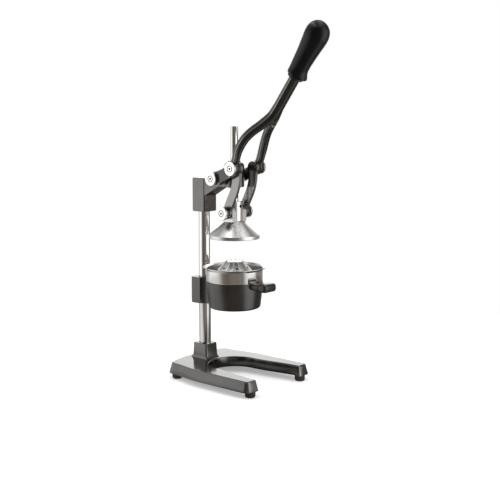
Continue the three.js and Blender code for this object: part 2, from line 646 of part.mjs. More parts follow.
function leverCasting() {
  const { body, holes } = kneePlate();
  const half = joined(body, tine()).subtract(holes);
  const end = shaft.length;
  const bar = alongShaft([
    [0, 0], [shaft.radius, 0], [shaft.radius, end], [shaft.studRadius, end],
    [shaft.studRadius, end + shaft.stud - shaft.studEdge],
    [shaft.studRadius - shaft.studEdge, end + shaft.stud], [0, end + shaft.stud],
  ], sides.medium);
  return joined(half, mirrored(half), bar);
}

function ferruleRing() {
  const from = shaft.length + fit.gap, to = from + ferrule.height, bore = shaft.studRadius + fit.gap;
  return alongShaft([
    [bore, from], [ferrule.radius - ferrule.edge, from], [ferrule.radius, from + ferrule.edge],
    [ferrule.radius, to - ferrule.edge], [ferrule.radius - ferrule.edge, to], [bore, to], [bore, from],
  ], sides.medium);
}

function gripBody() {
  const seat = shaft.length + fit.gap + ferrule.height + fit.gap;
  const up = shaftPoint(1, grip.leanDeg);
  const front = new THREE.Vector3(0, -up.z, up.y);
  const start = crownAt.clone().add(shaftPoint(seat))
    .addScaledVector(front, grip.ahead).addScaledVector(up, -fit.overrun);
  const path = new THREE.CatmullRomCurve3(gripShares.slice(0, -1).map((v) => new THREE.Vector3(...v)));
  const rings = path.getPoints(17).map((share) => {
    const centre = start.clone().addScaledVector(up, grip.length * share.x)
      .addScaledVector(front, grip.radius * share.z);
    return Array.from({ length: sides.medium }, (_, i) => {
      const angle = i / sides.medium * 2 * Math.PI, depth = grip.radius * share.y;
      return centre.clone().addScaledVector(front, depth * Math.cos(angle))
        .add(new THREE.Vector3(depth * gripWidthShare * Math.sin(angle), 0, 0));
    });
  });
  const body = loft(rings, fan(sides.medium));
  const across = shaftPoint(1);
  const cut = across.dot(crownAt) + seat;
  const bore = alongShaft([
    [0, seat - fit.overrun], [shaft.studRadius + fit.gap, seat - fit.overrun],
    [shaft.studRadius + fit.gap, seat + grip.bore], [0, seat + grip.bore],
  ], sides.small);
  return body.trimByPlane([across.x, across.y, across.z], cut).subtract(bore);
}

// Pot: the bowl with its outlet, and the clamp round the column in the same casting
const potClampBack = column.behindRod + clamp.behind;
const potClampHeights = clampScrewShares.map((share) => potFoot + pot.height * share);

function potRadius(z) {
  return pot.footRadius + (pot.topRadius - pot.footRadius) * (z - potFoot) / pot.height;
}

// the flat inside the pot's wall that the handle screw's head bears on
const handleSeat = potRadius(handleHeight - handle.headRadius) - pot.wall / 2;

function clampBlock() {
  const y = column.behindRod - clamp.ahead, c = clamp.corner, w = clamp.halfWidth, n = clamp.webHalf;
  const shape = new THREE.Shape();
  shape.moveTo(-n, 0);
  shape.lineTo(n, 0);
  shape.lineTo(n, clamp.webFrom);
  shape.quadraticCurveTo(n, y - clamp.flare, w, y);
  shape.lineTo(w, potClampBack - c);
  shape.absarc(w - c, potClampBack - c, c, 0, Math.PI / 2);
  shape.lineTo(-w + c, potClampBack);
  shape.absarc(-w + c, potClampBack - c, c, Math.PI / 2, Math.PI);
  shape.lineTo(-w, y);
  shape.quadraticCurveTo(-n, y - clamp.flare, -n, clamp.webFrom);
  const block = new THREE.ExtrudeGeometry(shape, { depth: pot.height, bevelEnabled: false });
  return placed(block, 0, 0, potFoot);
}

function potBody() {
  const r = pot.footRound, bottom = pot.footRadius, steps = 3;
  const round = Array.from({ length: steps + 1 }, (_, i) => {
    const angle = i / steps * Math.PI / 2;
    return [bottom - r + r * Math.sin(angle), potFoot + r - r * Math.cos(angle)];
  });
  const outside = turned([[0, potFoot], ...round, [pot.topRadius, potTop], [0, potTop]], sides.huge);
  const floorEdge = potFoot + pot.floor + pot.floorFall;
  const inside = turned([
    [0, potFoot + pot.floor], [pot.outletRadius, potFoot + pot.floor],
    [bottom - pot.wall - r, floorEdge], [bottom - pot.wall, floorEdge + r],
    [pot.topRadius - pot.wall, potTop + fit.overrun], [0, potTop + fit.overrun],
  ], sides.huge);
  const outlet = post(
    pot.outletRadius, potFoot - fit.overrun, potFoot + pot.floor + fit.overrun, 0, 0, sides.large);
  const collar = post(pot.outletRadius + pot.wall, potFoot, potFoot + pot.floor, 0, 0, sides.large);
  const screwHole = pinAlong(
    handle.screwRadius + fit.gap, -pot.topRadius - fit.overrun, 0, 0, handleHeight);
  const headSeat = pinAlong(handle.headRadius + fit.gap, -handleSeat, 0, 0, handleHeight);
  const screwHoles = potClampHeights.map((z) => (
    pinAlong(grubBore, column.behindRod, potClampBack + fit.overrun, 0, z)));
  return joined(outside, clampBlock(), collar).subtract(joined(
    inside, outlet, screwHole, headSeat, ...screwHoles,
    post(columnBore, potFoot - fit.overrun, potTop + fit.overrun, 0, column.behindRod, sides.medium)));
}

// the pull on the front of the pot: a rounded block on a slightly smaller root, hollowed to the pot
function potHandle() {
  const half = handle.depth / 2, centre = -handle.reach + half;
  const block = new THREE.ExtrudeGeometry(roundedRectangle(handle.depth, handle.height, handle.round), {
    depth: handle.width - 2 * handle.bevel, bevelEnabled: true, bevelThickness: handle.bevel,
    bevelSize: handle.bevel, bevelOffset: -handle.bevel, bevelSegments: 1, curveSegments: 2,
  });
  block.translate(0, 0, handle.bevel - handle.width / 2).rotateY(Math.PI / 2).rotateX(Math.PI / 2);
  const root = new THREE.ExtrudeGeometry(
    roundedRectangle(handle.rootWidth, handle.rootHeight, handle.round),
    { depth: -centre, bevelEnabled: false, curveSegments: 2 }).rotateX(Math.PI / 2);
  const clear = pot.footRadius + fit.gap, over = pot.topRadius + fit.gap;
  const pocket = turned([[0, potFoot], [clear, potFoot], [over, potTop], [0, potTop]], sides.huge);
  const screwEnd = -handleSeat - handle.screwLength - fit.gap;
  return joined(placed(block, 0, centre, handleHeight), placed(root, 0, 0, handleHeight)).subtract(joined(
    pocket, post(over, potTop - fit.gap, potTop + pot.height, 0, 0, sides.huge),
    pinAlong(handle.screwRadius + fit.gap, screwEnd, 0, 0, handleHeight)));
}

function handleScrew() {
  const seat = -handleSeat + fit.gap;
  const face = seat + handle.head;
  const shank = pinAlong(
    handle.screwRadius, -handleSeat - handle.screwLength, seat + fit.gap, 0, handleHeight);
  const cap = pinAlong(handle.headRadius, seat, face, 0, handleHeight, sides.medium);
  const hexagon = new THREE.CylinderGeometry(grub.hex, grub.hex, handle.head, 6);
  return joined(shank, cap).subtract(placed(hexagon, 0, face, handleHeight));
}

// Strainer: a shallow pan that stands on the pot's rim, with rings of holes in its floor
function holeRing(radius, hole, from, to, count, half) {
  return Array.from({ length: count }, (_, i) => {
    const angle = (i + half) / count * 2 * Math.PI;
    return post(hole, from, to, radius * Math.cos(angle), radius * Math.sin(angle), holeSides);
  });
}

function strainerBody() {
  const s = strainer.sheet, f = strainerSeat, lipFoot = strainerTop - strainer.lipHeight;
  const inner = strainer.bandRadius - s;
  const pan = turned([
    [0, f], [strainer.seatRadius - s, f], [strainer.seatRadius - s, f - strainer.seatDepth],
    [strainer.seatRadius, f - strainer.seatDepth], [strainer.seatRadius, f],
    [strainer.bandRadius - s / 2, f], [strainer.bandRadius, f + s / 2],
    [strainer.bandRadius, lipFoot], [strainer.rimRadius - s / 2, strainerTop - s],
    [strainer.rimRadius, strainerTop - s / 2], [strainer.rimRadius - s / 2, strainerTop],
    [inner + s / 2, lipFoot + s], [inner, lipFoot], [inner, f + s], [0, f + s],
  ], sides.huge);
  const from = f - fit.overrun, to = f + s + fit.overrun;
  const holes = [strainer.outerReach, strainer.innerReach].flatMap((radius, i) => {
    const count = Math.round(2 * Math.PI * radius / strainer.holeSpacing);
    return holeRing(radius, strainer.holeRadius, from, to, count, i / 2);
  });
  const middle = post(reamerScrew.radius + fit.gap, from, to, 0, 0);
  return pan.subtract(joined(middle, ...holes));
}

// Reamer: a ribbed cone on a plain skirt, hollow, with a boss for the screw from below
const reamerFoot = strainerSeat + strainer.sheet + fit.gap;
const reamerTop = reamerBase + reamer.coneHeight;

function reamerRib(angle) {
  const wide = reamer.ribFoot / 2, narrow = reamer.ribTop / 2, r = reamer.ribRise;
  const slope = new THREE.Vector2(reamer.baseRadius - reamer.topRadius, reamer.coneHeight);
  const n = new THREE.Vector2(slope.y, slope.x).normalize();
  const ring = (radius, z, half, rise) => {
    const inX = radius - n.x * reamer.wall / 2, inZ = z - n.y * reamer.wall / 2;
    const outX = radius + n.x * rise, outZ = z + n.y * rise;
    return [
      new THREE.Vector3(inX, -half, inZ), new THREE.Vector3(outX, -half / 3, outZ),
      new THREE.Vector3(outX, half / 3, outZ), new THREE.Vector3(inX, half, inZ),
    ];
  };
  const foot = ring(reamer.baseRadius - r, reamerBase + r, wide, r);
  const head = ring(reamer.topRadius + narrow, reamerTop - narrow, narrow, r);
  const tip = ring(reamer.topRadius, reamerTop + reamer.tip, narrow / 2, 0)
    .map((p) => p.setX(Math.min(p.x, reamer.topRadius)));
  const turn = (points) => points.map((p) => p.applyAxisAngle(new THREE.Vector3(0, 0, 1), angle));
  return loft([turn(foot), turn(head), turn(tip)], fan(4));
}

function reamerBody() {
  const w = reamer.wall, bottom = reamer.baseRadius;
  const outside = turned([
    [0, reamerFoot], [bottom, reamerFoot], [bottom, reamerBase], [reamer.topRadius, reamerTop],
    [0, reamerTop],
  ], sides.huge);
  const inside = turned([
    [0, reamerFoot - fit.overrun], [bottom - w, reamerFoot - fit.overrun],
    [bottom - w, reamerBase - w / 2], [reamer.topRadius - w / 2, reamerTop - w], [0, reamerTop - w],
  ], sides.huge);
  const boss = post(reamer.bossRadius, reamerFoot, reamerTop - w / 2, 0, 0);
  const ribs = Array.from({ length: reamerRibs }, (_, i) => reamerRib(i / reamerRibs * 2 * Math.PI));
  // each drain goes down through the cone half way between two ribs
  const turnShare = reamerDrains / reamerRibs / 2;
  const drains = holeRing(
    reamer.holeReach, reamer.holeRadius, reamerBase, reamerTop, reamerDrains, turnShare);
  const screwHole = post(
    reamerScrew.radius + fit.gap, reamerFoot - fit.overrun, reamerFoot + reamerScrew.length + fit.gap,
    0, 0);
  return joined(outside.subtract(inside), boss, ...ribs).subtract(joined(screwHole, ...drains));
}

function reamerScrewBody() {
  const seat = strainerSeat - fit.gap, face = seat - reamerScrew.head;
  const hexagon = new THREE.CylinderGeometry(grub.hex, grub.hex, reamerScrew.head, 6).rotateX(Math.PI / 2);
  return turned([
    [0, face], [reamerScrew.headRadius, face], [reamerScrew.headRadius, seat], [reamerScrew.radius, seat],
    [reamerScrew.radius, reamerFoot + reamerScrew.length], [0, reamerFoot + reamerScrew.length],
  ], sides.small).subtract(placed(hexagon, 0, 0, face));
}

function mesh(name, body, material) {
  const found = body.getMesh();
  const geometry = new THREE.BufferGeometry();
  const places = new Float32Array(found.numVert * 3);
  for (let i = 0; i < found.numVert; i++) {
    for (let k = 0; k < 3; k++) places[3 * i + k] = found.vertProperties[i * found.numProp + k];
  }
  geometry.setAttribute('position', new THREE.BufferAttribute(places, 3));
  geometry.setIndex(new THREE.BufferAttribute(new Uint32Array(found.triVerts), 1));
  geometry.computeVertexNormals();
  const made = new THREE.Mesh(geometry, material);
  made.name = name;
  return made;
}

const press = new THREE.Group();
press.name = 'lever_citrus_press';
press.add(mesh('base_casting', baseCasting(), casting));
for (const [place, x, y] of footSpots) {
  press.add(mesh(`foot_${place}`, rubberFoot(x, y), blackRubber));
  press.add(mesh(`foot_screw_${place}`, footScrewAt(x, y), stainless));
}
press.add(mesh('column', columnBar(), polished));
press.add(mesh('column_bolt', columnBoltBody(), blackSteel));
const boltWasher = flatRing(
  boltBore, columnBolt.washerRadius, boltSeat + fit.gap, bossFoot - fit.gap, 0, column.behindRod);
press.add(mesh('column_bolt_washer', boltWasher, stainless));
const columnBack = pointOff(column.radius, column.behindRod, 1);
press.add(mesh('socket_set_screw', grubScrew(columnBack, 1, 0, socketGrubHeight), blackSteel));

press.add(mesh('head_bracket', headBracket(), casting));
press.add(mesh('bracket_set_screw_lower', grubScrew(columnBack, 1, 0, bracketGrubHeights[0]), blackSteel));
press.add(mesh('bracket_set_screw_upper', grubScrew(columnBack, 1, 0, bracketGrubHeights[1]), blackSteel));
press.add(mesh('sleeve_bush_bottom', sleeveBush(sleeveFoot, -1), bronze));
press.add(mesh('sleeve_bush_top', sleeveBush(sleeveTop, 1), bronze));
press.add(mesh('fulcrum_axle', fulcrumAxle(), stainless));
press.add(mesh('lever', leverCasting(), darkCasting));
press.add(mesh('ferrule', ferruleRing(), blackSteel));
press.add(mesh('grip', gripBody(), blackGrip));

const headIn = leverOut + fit.gap, washerOut = leverIn - fit.gap;
for (const [hand, side] of [['left', -1], ['right', 1]]) {
  press.add(mesh(`fulcrum_screw_${hand}`,
    headedScrew(headIn, pivot.screwRadius, leverOut - pivot.screwLength, fulcrumAt, side), bright));
  const fulcrumWasher = washer(bossEnd + fit.gap, washerOut, fulcrumAt, side);
  press.add(mesh(`fulcrum_washer_${hand}`, fulcrumWasher, stainless));
  press.add(mesh(`strap_${hand}`, strapBody(side), satinLink));
  press.add(mesh(`link_screw_${hand}`, headedScrew(headIn, pivot.radius, strapIn, linkAt, side), bright));
  const linkWasher = washer(strapOut + fit.gap, washerOut, linkAt, side);
  press.add(mesh(`link_washer_${hand}`, linkWasher, stainless));
  const spacerOut = strapOut + fit.gap + stack.wristSpacer;
  press.add(mesh(`wrist_screw_${hand}`,
    headedScrew(spacerOut + fit.gap, pivot.radius, strapIn, wristAt, side), bright));
  const wristWasher = washer(strapOut + fit.gap, spacerOut, wristAt, side);
  press.add(mesh(`wrist_washer_${hand}`, wristWasher, stainless));
}
press.add(mesh('wrist_pin', pinAcross(pivot.wristRadius, -lugEnd, lugEnd, 0, wristAt.z), stainless));
press.add(mesh('plunger_rod', plungerRod(), polished));
press.add(mesh('press_cup', pressCup(), satinCast));
press.add(mesh('cup_set_screw', grubScrew(pointOff(rod.radius, 0, -1), -1, 0, cupGrubHeight), blackSteel));

press.add(mesh('pot', potBody(), darkCasting));
press.add(mesh('pot_clamp_screw_lower', grubScrew(columnBack, 1, 0, potClampHeights[0]), blackSteel));
press.add(mesh('pot_clamp_screw_upper', grubScrew(columnBack, 1, 0, potClampHeights[1]), blackSteel));
press.add(mesh('pot_handle', potHandle(), darkCasting));
press.add(mesh('handle_screw', handleScrew(), stainless));
press.add(mesh('strainer', strainerBody(), stainless));
press.add(mesh('reamer', reamerBody(), satinCast));
press.add(mesh('reamer_screw', reamerScrewBody(), stainless));

// the finished press stands on the floor with its box centred on the origin
const box = new THREE.Box3().setFromObject(press);
const middle = box.getCenter(new THREE.Vector3());
for (const piece of press.children) piece.geometry.translate(-middle.x, -middle.y, -box.min.z);

export default press;
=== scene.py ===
import math
import bpy
import bmesh
from mathutils import Matrix, Vector
from mathutils.kdtree import KDTree


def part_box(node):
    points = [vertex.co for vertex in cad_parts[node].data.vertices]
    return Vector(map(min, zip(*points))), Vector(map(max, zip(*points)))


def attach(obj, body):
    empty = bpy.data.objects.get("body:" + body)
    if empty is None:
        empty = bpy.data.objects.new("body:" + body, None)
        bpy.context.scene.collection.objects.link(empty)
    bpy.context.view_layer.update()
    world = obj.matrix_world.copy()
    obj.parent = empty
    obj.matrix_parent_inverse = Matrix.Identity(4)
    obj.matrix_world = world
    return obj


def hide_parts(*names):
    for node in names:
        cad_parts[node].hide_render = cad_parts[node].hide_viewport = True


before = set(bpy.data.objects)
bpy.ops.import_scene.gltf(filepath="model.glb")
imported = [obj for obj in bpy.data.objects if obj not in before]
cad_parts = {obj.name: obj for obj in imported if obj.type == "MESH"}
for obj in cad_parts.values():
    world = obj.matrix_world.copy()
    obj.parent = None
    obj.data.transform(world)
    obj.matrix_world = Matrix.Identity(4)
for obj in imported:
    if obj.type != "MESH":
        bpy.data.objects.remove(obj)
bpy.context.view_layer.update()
print("frame loaded,", len(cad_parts), "nodes")

mm = 0.001
xAxis, yAxis, zAxis = Vector((1, 0, 0)), Vector((0, 1, 0)), Vector((0, 0, 1))


def boxOf(node):
    low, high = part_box(node)
    return low / mm, high / mm


def middleOf(node):
    low, high = boxOf(node)
    return (low + high) / 2


# everything below is drawn in millimetres from the plunger's axis, with the floor at zero
axisY = middleOf("plunger_rod").y


def at(x, y, z):
    return Vector((x, y + axisY, z)) * mm


def local(point):
    return Vector((point.x, point.y - axisY, point.z))


# camera
cameraView = {"place": (-1.36712, -1.17815, 0.51593), "turn": -49.5433, "tilt": 84.3429, "lens": 68.6925,
              "sensor": 36, "shiftX": -0.01881, "shiftY": -0.08}
cameraData = bpy.data.cameras.new("photoCamera")
cameraData.lens = cameraView["lens"]
cameraData.sensor_width = cameraView["sensor"]
cameraData.shift_x = cameraView["shiftX"]
cameraData.shift_y = cameraView["shiftY"]
camera = bpy.data.objects.new("photoCamera", cameraData)
camera.location = cameraView["place"]
camera.rotation_euler = (math.radians(cameraView["tilt"]), 0, math.radians(cameraView["turn"]))
bpy.context.scene.collection.objects.link(camera)
bpy.context.scene.camera = camera
bpy.context.scene.view_settings.view_transform = "Standard"


# bench: selecting, turning, lofting, joining and cutting
def clearSelection():
    if bpy.context.mode != "OBJECT":
        bpy.ops.object.mode_set(mode="OBJECT")
    bpy.ops.object.select_all(action="DESELECT")


def pick(piece):
    clearSelection()
    piece.select_set(True)
    bpy.context.view_layer.objects.active = piece


def tidyMesh(piece, smoothAngle=32):
    pick(piece)
    bpy.ops.object.mode_set(mode="EDIT")
    bpy.ops.mesh.select_all(action="SELECT")
    bpy.ops.mesh.remove_doubles(threshold=0.002 * mm)
    bpy.ops.mesh.normals_make_consistent(inside=False)
    bpy.ops.object.mode_set(mode="OBJECT")
    bpy.ops.object.transform_apply(location=True, rotation=True, scale=True)
    bpy.ops.object.shade_smooth_by_angle(angle=math.radians(smoothAngle))
    return piece


# corners of a path in a plane, (a, b) or (a, b, round), with each round corner made an arc
def rounded(corners, closed=False, steps=5):
    path = []
    count = len(corners)
    for i, corner in enumerate(corners):
        here = Vector(corner[:2])
        radius = corner[2] if len(corner) > 2 else 0
        if radius <= 0 or (not closed and i in (0, count - 1)):
            path.append((here.x, here.y))
            continue
        before, after = Vector(corners[i - 1][:2]), Vector(corners[(i + 1) % count][:2])
        a, b = (before - here).normalized(), (after - here).normalized()
        half = a.angle(b) / 2
        reach = min(radius / math.tan(half), (before - here).length * 0.49, (after - here).length * 0.49)
        radius = reach * math.tan(half)
        centre = here + (a + b).normalized() * (radius / math.sin(half))
        start, end = here + a * reach - centre, here + b * reach - centre
        sweep = start.angle_signed(end)
        for k in range(steps + 1):
            angle = -sweep * k / steps
            spoke = Vector((start.x * math.cos(angle) - start.y * math.sin(angle),
                            start.x * math.sin(angle) + start.y * math.cos(angle)))
            path.append(tuple(centre + spoke))
    return path


# a rectangle with one radius on its four corners
def roundedBox(halfA, halfB, radius, steps=5, middle=(0, 0)):
    a, b = middle
    corners = [(a - halfA, b - halfB), (a + halfA, b - halfB), (a + halfA, b + halfB), (a - halfA, b + halfB)]
    return rounded([(*corner, radius) for corner in corners], True, steps)


# a body turned round an axis from (radius, along) pairs; a path that ends where it starts is a ring
def turnPiece(name, centre, axis, profile, sides=96):
    clearSelection()
    spin = axis.to_track_quat("Z", "Y").to_euler()
    tiny = 0.0004
    radius, along = max(profile[0][0], tiny), profile[0][1]
    bpy.ops.mesh.primitive_circle_add(vertices=sides, radius=radius * mm, fill_type="NOTHING",
                                      location=centre + axis * along * mm, rotation=spin)
    piece = bpy.context.object
    piece.name = name
    bpy.ops.object.mode_set(mode="EDIT")
    bpy.ops.mesh.select_all(action="SELECT")
    for nextRadius, nextAlong in profile[1:]:
        nextRadius = max(nextRadius, tiny)
        bpy.ops.mesh.extrude_region_move(TRANSFORM_OT_translate={"value": axis * (nextAlong - along) * mm})
        grow = nextRadius / radius
        bpy.ops.transform.resize(value=(grow, grow, grow), center_override=centre + axis * nextAlong * mm)
        radius, along = nextRadius, nextAlong
    return tidyMesh(piece)


# rings of points, each extruded from the one before; both ends are closed flat
def loftPiece(name, rings, hold=0.6, smoothAngle=32):
    clearSelection()
    count = len(rings[0])
    bpy.ops.mesh.primitive_circle_add(vertices=count, radius=mm, fill_type="NOTHING")
    piece = bpy.context.object
    piece.name = name
    bpy.ops.object.mode_set(mode="EDIT")
    bpy.ops.mesh.select_all(action="SELECT")
    net = bmesh.from_edit_mesh(piece.data)
    order = list(net.verts)
    for vertex, place in zip(order, rings[0]):
        vertex.co = place
    for ring in rings[1:]:
        found = {tuple(vertex.co): i for i, vertex in enumerate(order)}
        bpy.ops.mesh.extrude_region_move()
        net = bmesh.from_edit_mesh(piece.data)
        fresh = [vertex for vertex in net.verts if vertex.select]
        order = sorted(fresh, key=lambda vertex: found[tuple(vertex.co)])
        for vertex, place in zip(order, ring):
            vertex.co = place
    bmesh.update_edit_mesh(piece.data)
    bpy.ops.mesh.select_all(action="DESELECT")
    bpy.ops.mesh.select_non_manifold(extend=False)
    bpy.ops.mesh.edge_face_add()
    if hold:
        closeCaps(piece, count, hold)
    return tidyMesh(piece, smoothAngle)


# the flat ends get a narrow border, so that a rounded edge beside them shades evenly
def closeCaps(piece, count, hold):
    net = bmesh.from_edit_mesh(piece.data)
    for face in net.faces:
        face.select = len(face.verts) >= count
    net.select_flush_mode()
    bmesh.update_edit_mesh(piece.data)
    bpy.ops.mesh.inset(thickness=hold * mm, use_even_offset=True)


# an outline with a thickness; its two rims are rounded
def platePiece(name, outline, depth, rim=0.6, segments=3):
    clearSelection()
    bpy.ops.mesh.primitive_circle_add(vertices=len(outline), radius=mm, fill_type="NGON")
    piece = bpy.context.object
    piece.name = name
    bpy.ops.object.mode_set(mode="EDIT")
    net = bmesh.from_edit_mesh(piece.data)
    for vertex, place in zip(list(net.verts), outline):
        vertex.co = place
    bmesh.update_edit_mesh(piece.data)
    bpy.ops.mesh.select_all(action="SELECT")
    bpy.ops.mesh.extrude_region_move(TRANSFORM_OT_translate={"value": depth})
    net = bmesh.from_edit_mesh(piece.data)
    if len([face for face in net.faces if len(face.verts) >= len(outline)]) < 2:
        bpy.ops.mesh.select_all(action="DESELECT")
        bpy.ops.mesh.select_non_manifold(extend=False)
        bpy.ops.mesh.edge_face_add()
        net = bmesh.from_edit_mesh(piece.data)
    if rim:
        bpy.ops.mesh.select_all(action="DESELECT")
        for edge in net.edges:
            edge.select = any(len(face.verts) >= len(outline) for face in edge.link_faces)
        bmesh.update_edit_mesh(piece.data)
        bpy.ops.mesh.bevel(offset=rim * mm, segments=segments, profile=0.5, affect="EDGES",
                           clamp_overlap=False)
    return tidyMesh(piece)


def joinPieces(pieces):
    clearSelection()
    for piece in pieces:
        piece.select_set(True)
    bpy.context.view_layer.objects.active = pieces[0]
    if len(pieces) > 1:
        bpy.ops.object.join()
    return pieces[0]


def combine(piece, others, operation):
    for other in others:
        modifier = piece.modifiers.new("work", "BOOLEAN")
        modifier.operation = operation
        modifier.solver = "MANIFOLD"
        modifier.object = other
        pick(piece)
        bpy.ops.object.modifier_apply(modifier="work")
        bpy.data.objects.remove(other)
    return piece


def fuse(piece, *others):
    return combine(piece, others, "UNION")


def cutAway(piece, *others):
    return combine(piece, others, "DIFFERENCE")


# a rough casting made one skin, with its creases and edges eased
def castSkin(piece, voxel, passes):
    modifier = piece.modifiers.new("skin", "REMESH")
    modifier.mode = "VOXEL"
    modifier.voxel_size = voxel * mm
    modifier.use_smooth_shade = True
    ease = piece.modifiers.new("ease", "SMOOTH")
    ease.factor = 0.5
    ease.iterations = passes
    pick(piece)
    bpy.ops.object.modifier_apply(modifier="skin")
    bpy.ops.object.modifier_apply(modifier="ease")
    bpy.ops.object.shade_smooth()
    return piece


def boreAlong(axis, centre, radius, start, end, sides=48):
    return turnPiece("bore", centre, axis, [(0, start), (radius, start), (radius, end), (0, end)], sides)


# the curve through a few points that the straps, tines and grip follow, and its heading
def smoothPath(points):
    ends = [points[0] * 2 - points[1]] + list(points) + [points[-1] * 2 - points[-2]]

    def along(share):
        place = share * (len(points) - 1)
        i = min(int(place), len(points) - 2)
        t = place - i
        p0, p1, p2, p3 = ends[i:i + 4]
        d0, d1, d2 = [(b - a).length ** 0.5 for a, b in ((p0, p1), (p1, p2), (p2, p3))]
        t1 = ((p1 - p0) / d0 - (p2 - p0) / (d0 + d1) + (p2 - p1) / d1) * d1
        t2 = ((p2 - p1) / d1 - (p3 - p1) / (d1 + d2) + (p3 - p2) / d2) * d1
        c2 = p1 * -3 + p2 * 3 - t1 * 2 - t2
        c3 = p1 * 2 - p2 * 2 + t1 + t2
        return p1 + t1 * t + c2 * t ** 2 + c3 * t ** 3

    def heading(share):
        step = 0.0005
        return (along(min(1, share + step)) - along(max(0, share - step))).normalized()

    return along, heading


def bezier(points, steps, first=True):
    found = []
    for k in range(0 if first else 1, steps + 1):
        t = k / steps
        level = [Vector(p) for p in points]
        while len(level) > 1:
            level = [a.lerp(b, t) for a, b in zip(level, level[1:])]
        found.append(level[0])
    return found


def blendShare(low, high, x):
    t = min(1, max(0, (x - low) / (high - low)))
    return t * t * (3 - 2 * t)


def mix(a, b, t):
    return a + (b - a) * t


# materials: effects shared by several finishes
def effectGroup(name, inputs, outputs):
    group = bpy.data.node_groups.new(name, "ShaderNodeTree")
    for label, kind, value in inputs:
        socket = group.interface.new_socket(label, in_out="INPUT", socket_type=kind)
        socket.default_value = value
    for label in outputs:
        group.interface.new_socket(label, in_out="OUTPUT", socket_type="NodeSocketFloat")
    return group, group.nodes.new("NodeGroupInput"), group.nodes.new("NodeGroupOutput")


def mathNode(tree, operation, a, b=None):
    node = tree.nodes.new("ShaderNodeMath")
    node.operation = operation
    for socket, value in zip(node.inputs, (a, b)):
        if value is None:
            continue
        if isinstance(value, (int, float)):
            socket.default_value = value
        else:
            tree.links.new(value, socket)
    return node.outputs[0]


def spread(tree, value, low, high, toLow, toHigh):
    node = tree.nodes.new("ShaderNodeMapRange")
    tree.links.new(value, node.inputs["Value"])
    for label, amount in (("From Min", low), ("From Max", high), ("To Min", toLow), ("To Max", toHigh)):
        node.inputs[label].default_value = amount
    return node.outputs[0]


def vectorNode(tree, operation, a, b=None):
    node = tree.nodes.new("ShaderNodeVectorMath")
    node.operation = operation
    tree.links.new(a, node.inputs[0])
    if b is not None:
        tree.links.new(b, node.inputs[1])
    return node


def noiseNode(tree, place, scale, detail):
    node = tree.nodes.new("ShaderNodeTexNoise")
    tree.links.new(place, node.inputs["Vector"])
    if isinstance(scale, (int, float)):
        node.inputs["Scale"].default_value = scale
    else:
        tree.links.new(scale, node.inputs["Scale"])
    node.inputs["Detail"].default_value = detail
    return node.outputs["Fac"]


def colourMix(tree, factor):
    node = tree.nodes.new("ShaderNodeMix")
    node.data_type = "RGBA"
    tree.links.new(factor, node.inputs["Factor"])
    return node


# noise: how fine and how large; where an edge counts as worn and gets a painted highlight; the part of the
# noise that changes the gloss
effects = {"grainDetail": 3, "mottleDetail": 4, "edgeFrom": 0.52, "edgeTo": 0.6, "lineDetail": 4,
           "ringDetail": 3, "smudgeDetail": 3, "lineSmudge": 60, "ringSmudge": 70, "unevenness": 40,
           "glossFrom": 0.3, "glossTo": 0.7, "shadeSoft": 0.25, "bareMetalAndHighlight": (0.5, 0.49, 0.47, 1),
           "shadeTone": (0.035, 0.033, 0.03, 1)}


# paint over a sand casting: fine orange peel, slow unevenness, and a mask of sharp edges, which go lighter,
# partly worn paint and partly a painted highlight
def makeCastGroup():
    e = effects
    inputs = [("Grain", "NodeSocketFloat", 1500), ("Unevenness", "NodeSocketFloat", e["unevenness"])]
    group, given, made = effectGroup("castPaint", inputs, ["Height", "Mottle", "Edge"])
    place = group.nodes.new("ShaderNodeTexCoord").outputs["Object"]
    sharp = group.nodes.new("ShaderNodeNewGeometry").outputs["Pointiness"]
    grain = noiseNode(group, place, given.outputs["Grain"], e["grainDetail"])
    mottle = noiseNode(group, place, given.outputs["Unevenness"], e["mottleDetail"])
    group.links.new(grain, made.inputs["Height"])
    group.links.new(mottle, made.inputs["Mottle"])
    group.links.new(spread(group, sharp, e["edgeFrom"], e["edgeTo"], 0, 1), made.inputs["Edge"])
    return group


# fine lines left by polishing, long across the direction in which the stretch is largest
def makeLineGroup():
    e = effects
    inputs = [("Stretch", "NodeSocketVector", (1, 1, 1)), ("Scale", "NodeSocketFloat", 100)]
    group, given, made = effectGroup("polishLines", inputs, ["Lines", "Smudge"])
    place = group.nodes.new("ShaderNodeTexCoord").outputs["Object"]
    drawn = vectorNode(group, "MULTIPLY", place, given.outputs["Stretch"]).outputs[0]
    lines = noiseNode(group, drawn, given.outputs["Scale"], e["lineDetail"])
    group.links.new(lines, made.inputs["Lines"])
    group.links.new(noiseNode(group, place, e["lineSmudge"], e["smudgeDetail"]), made.inputs["Smudge"])
    return group


# circles left by a lathe round a line: the mask leaves out the direction of that line
def makeLatheGroup():
    e = effects
    inputs = [("Centre", "NodeSocketVector", (0, 0, 0)), ("Mask", "NodeSocketVector", (1, 1, 0)),
              ("Pitch", "NodeSocketFloat", 1500)]
    group, given, made = effectGroup("latheRings", inputs, ["Rings", "Smudge", "Reach"])
    place = group.nodes.new("ShaderNodeTexCoord").outputs["Object"]
    shift = vectorNode(group, "SUBTRACT", place, given.outputs["Centre"]).outputs[0]
    flat = vectorNode(group, "MULTIPLY", shift, given.outputs["Mask"]).outputs[0]
    reach = vectorNode(group, "LENGTH", flat).outputs["Value"]
    rings = group.nodes.new("ShaderNodeTexNoise")
    rings.noise_dimensions = "1D"
    rings.inputs["Detail"].default_value = e["ringDetail"]
    group.links.new(reach, rings.inputs["W"])
    group.links.new(given.outputs["Pitch"], rings.inputs["Scale"])
    group.links.new(rings.outputs["Fac"], made.inputs["Rings"])
    group.links.new(reach, made.inputs["Reach"])
    group.links.new(noiseNode(group, place, e["ringSmudge"], e["smudgeDetail"]), made.inputs["Smudge"])
    return group


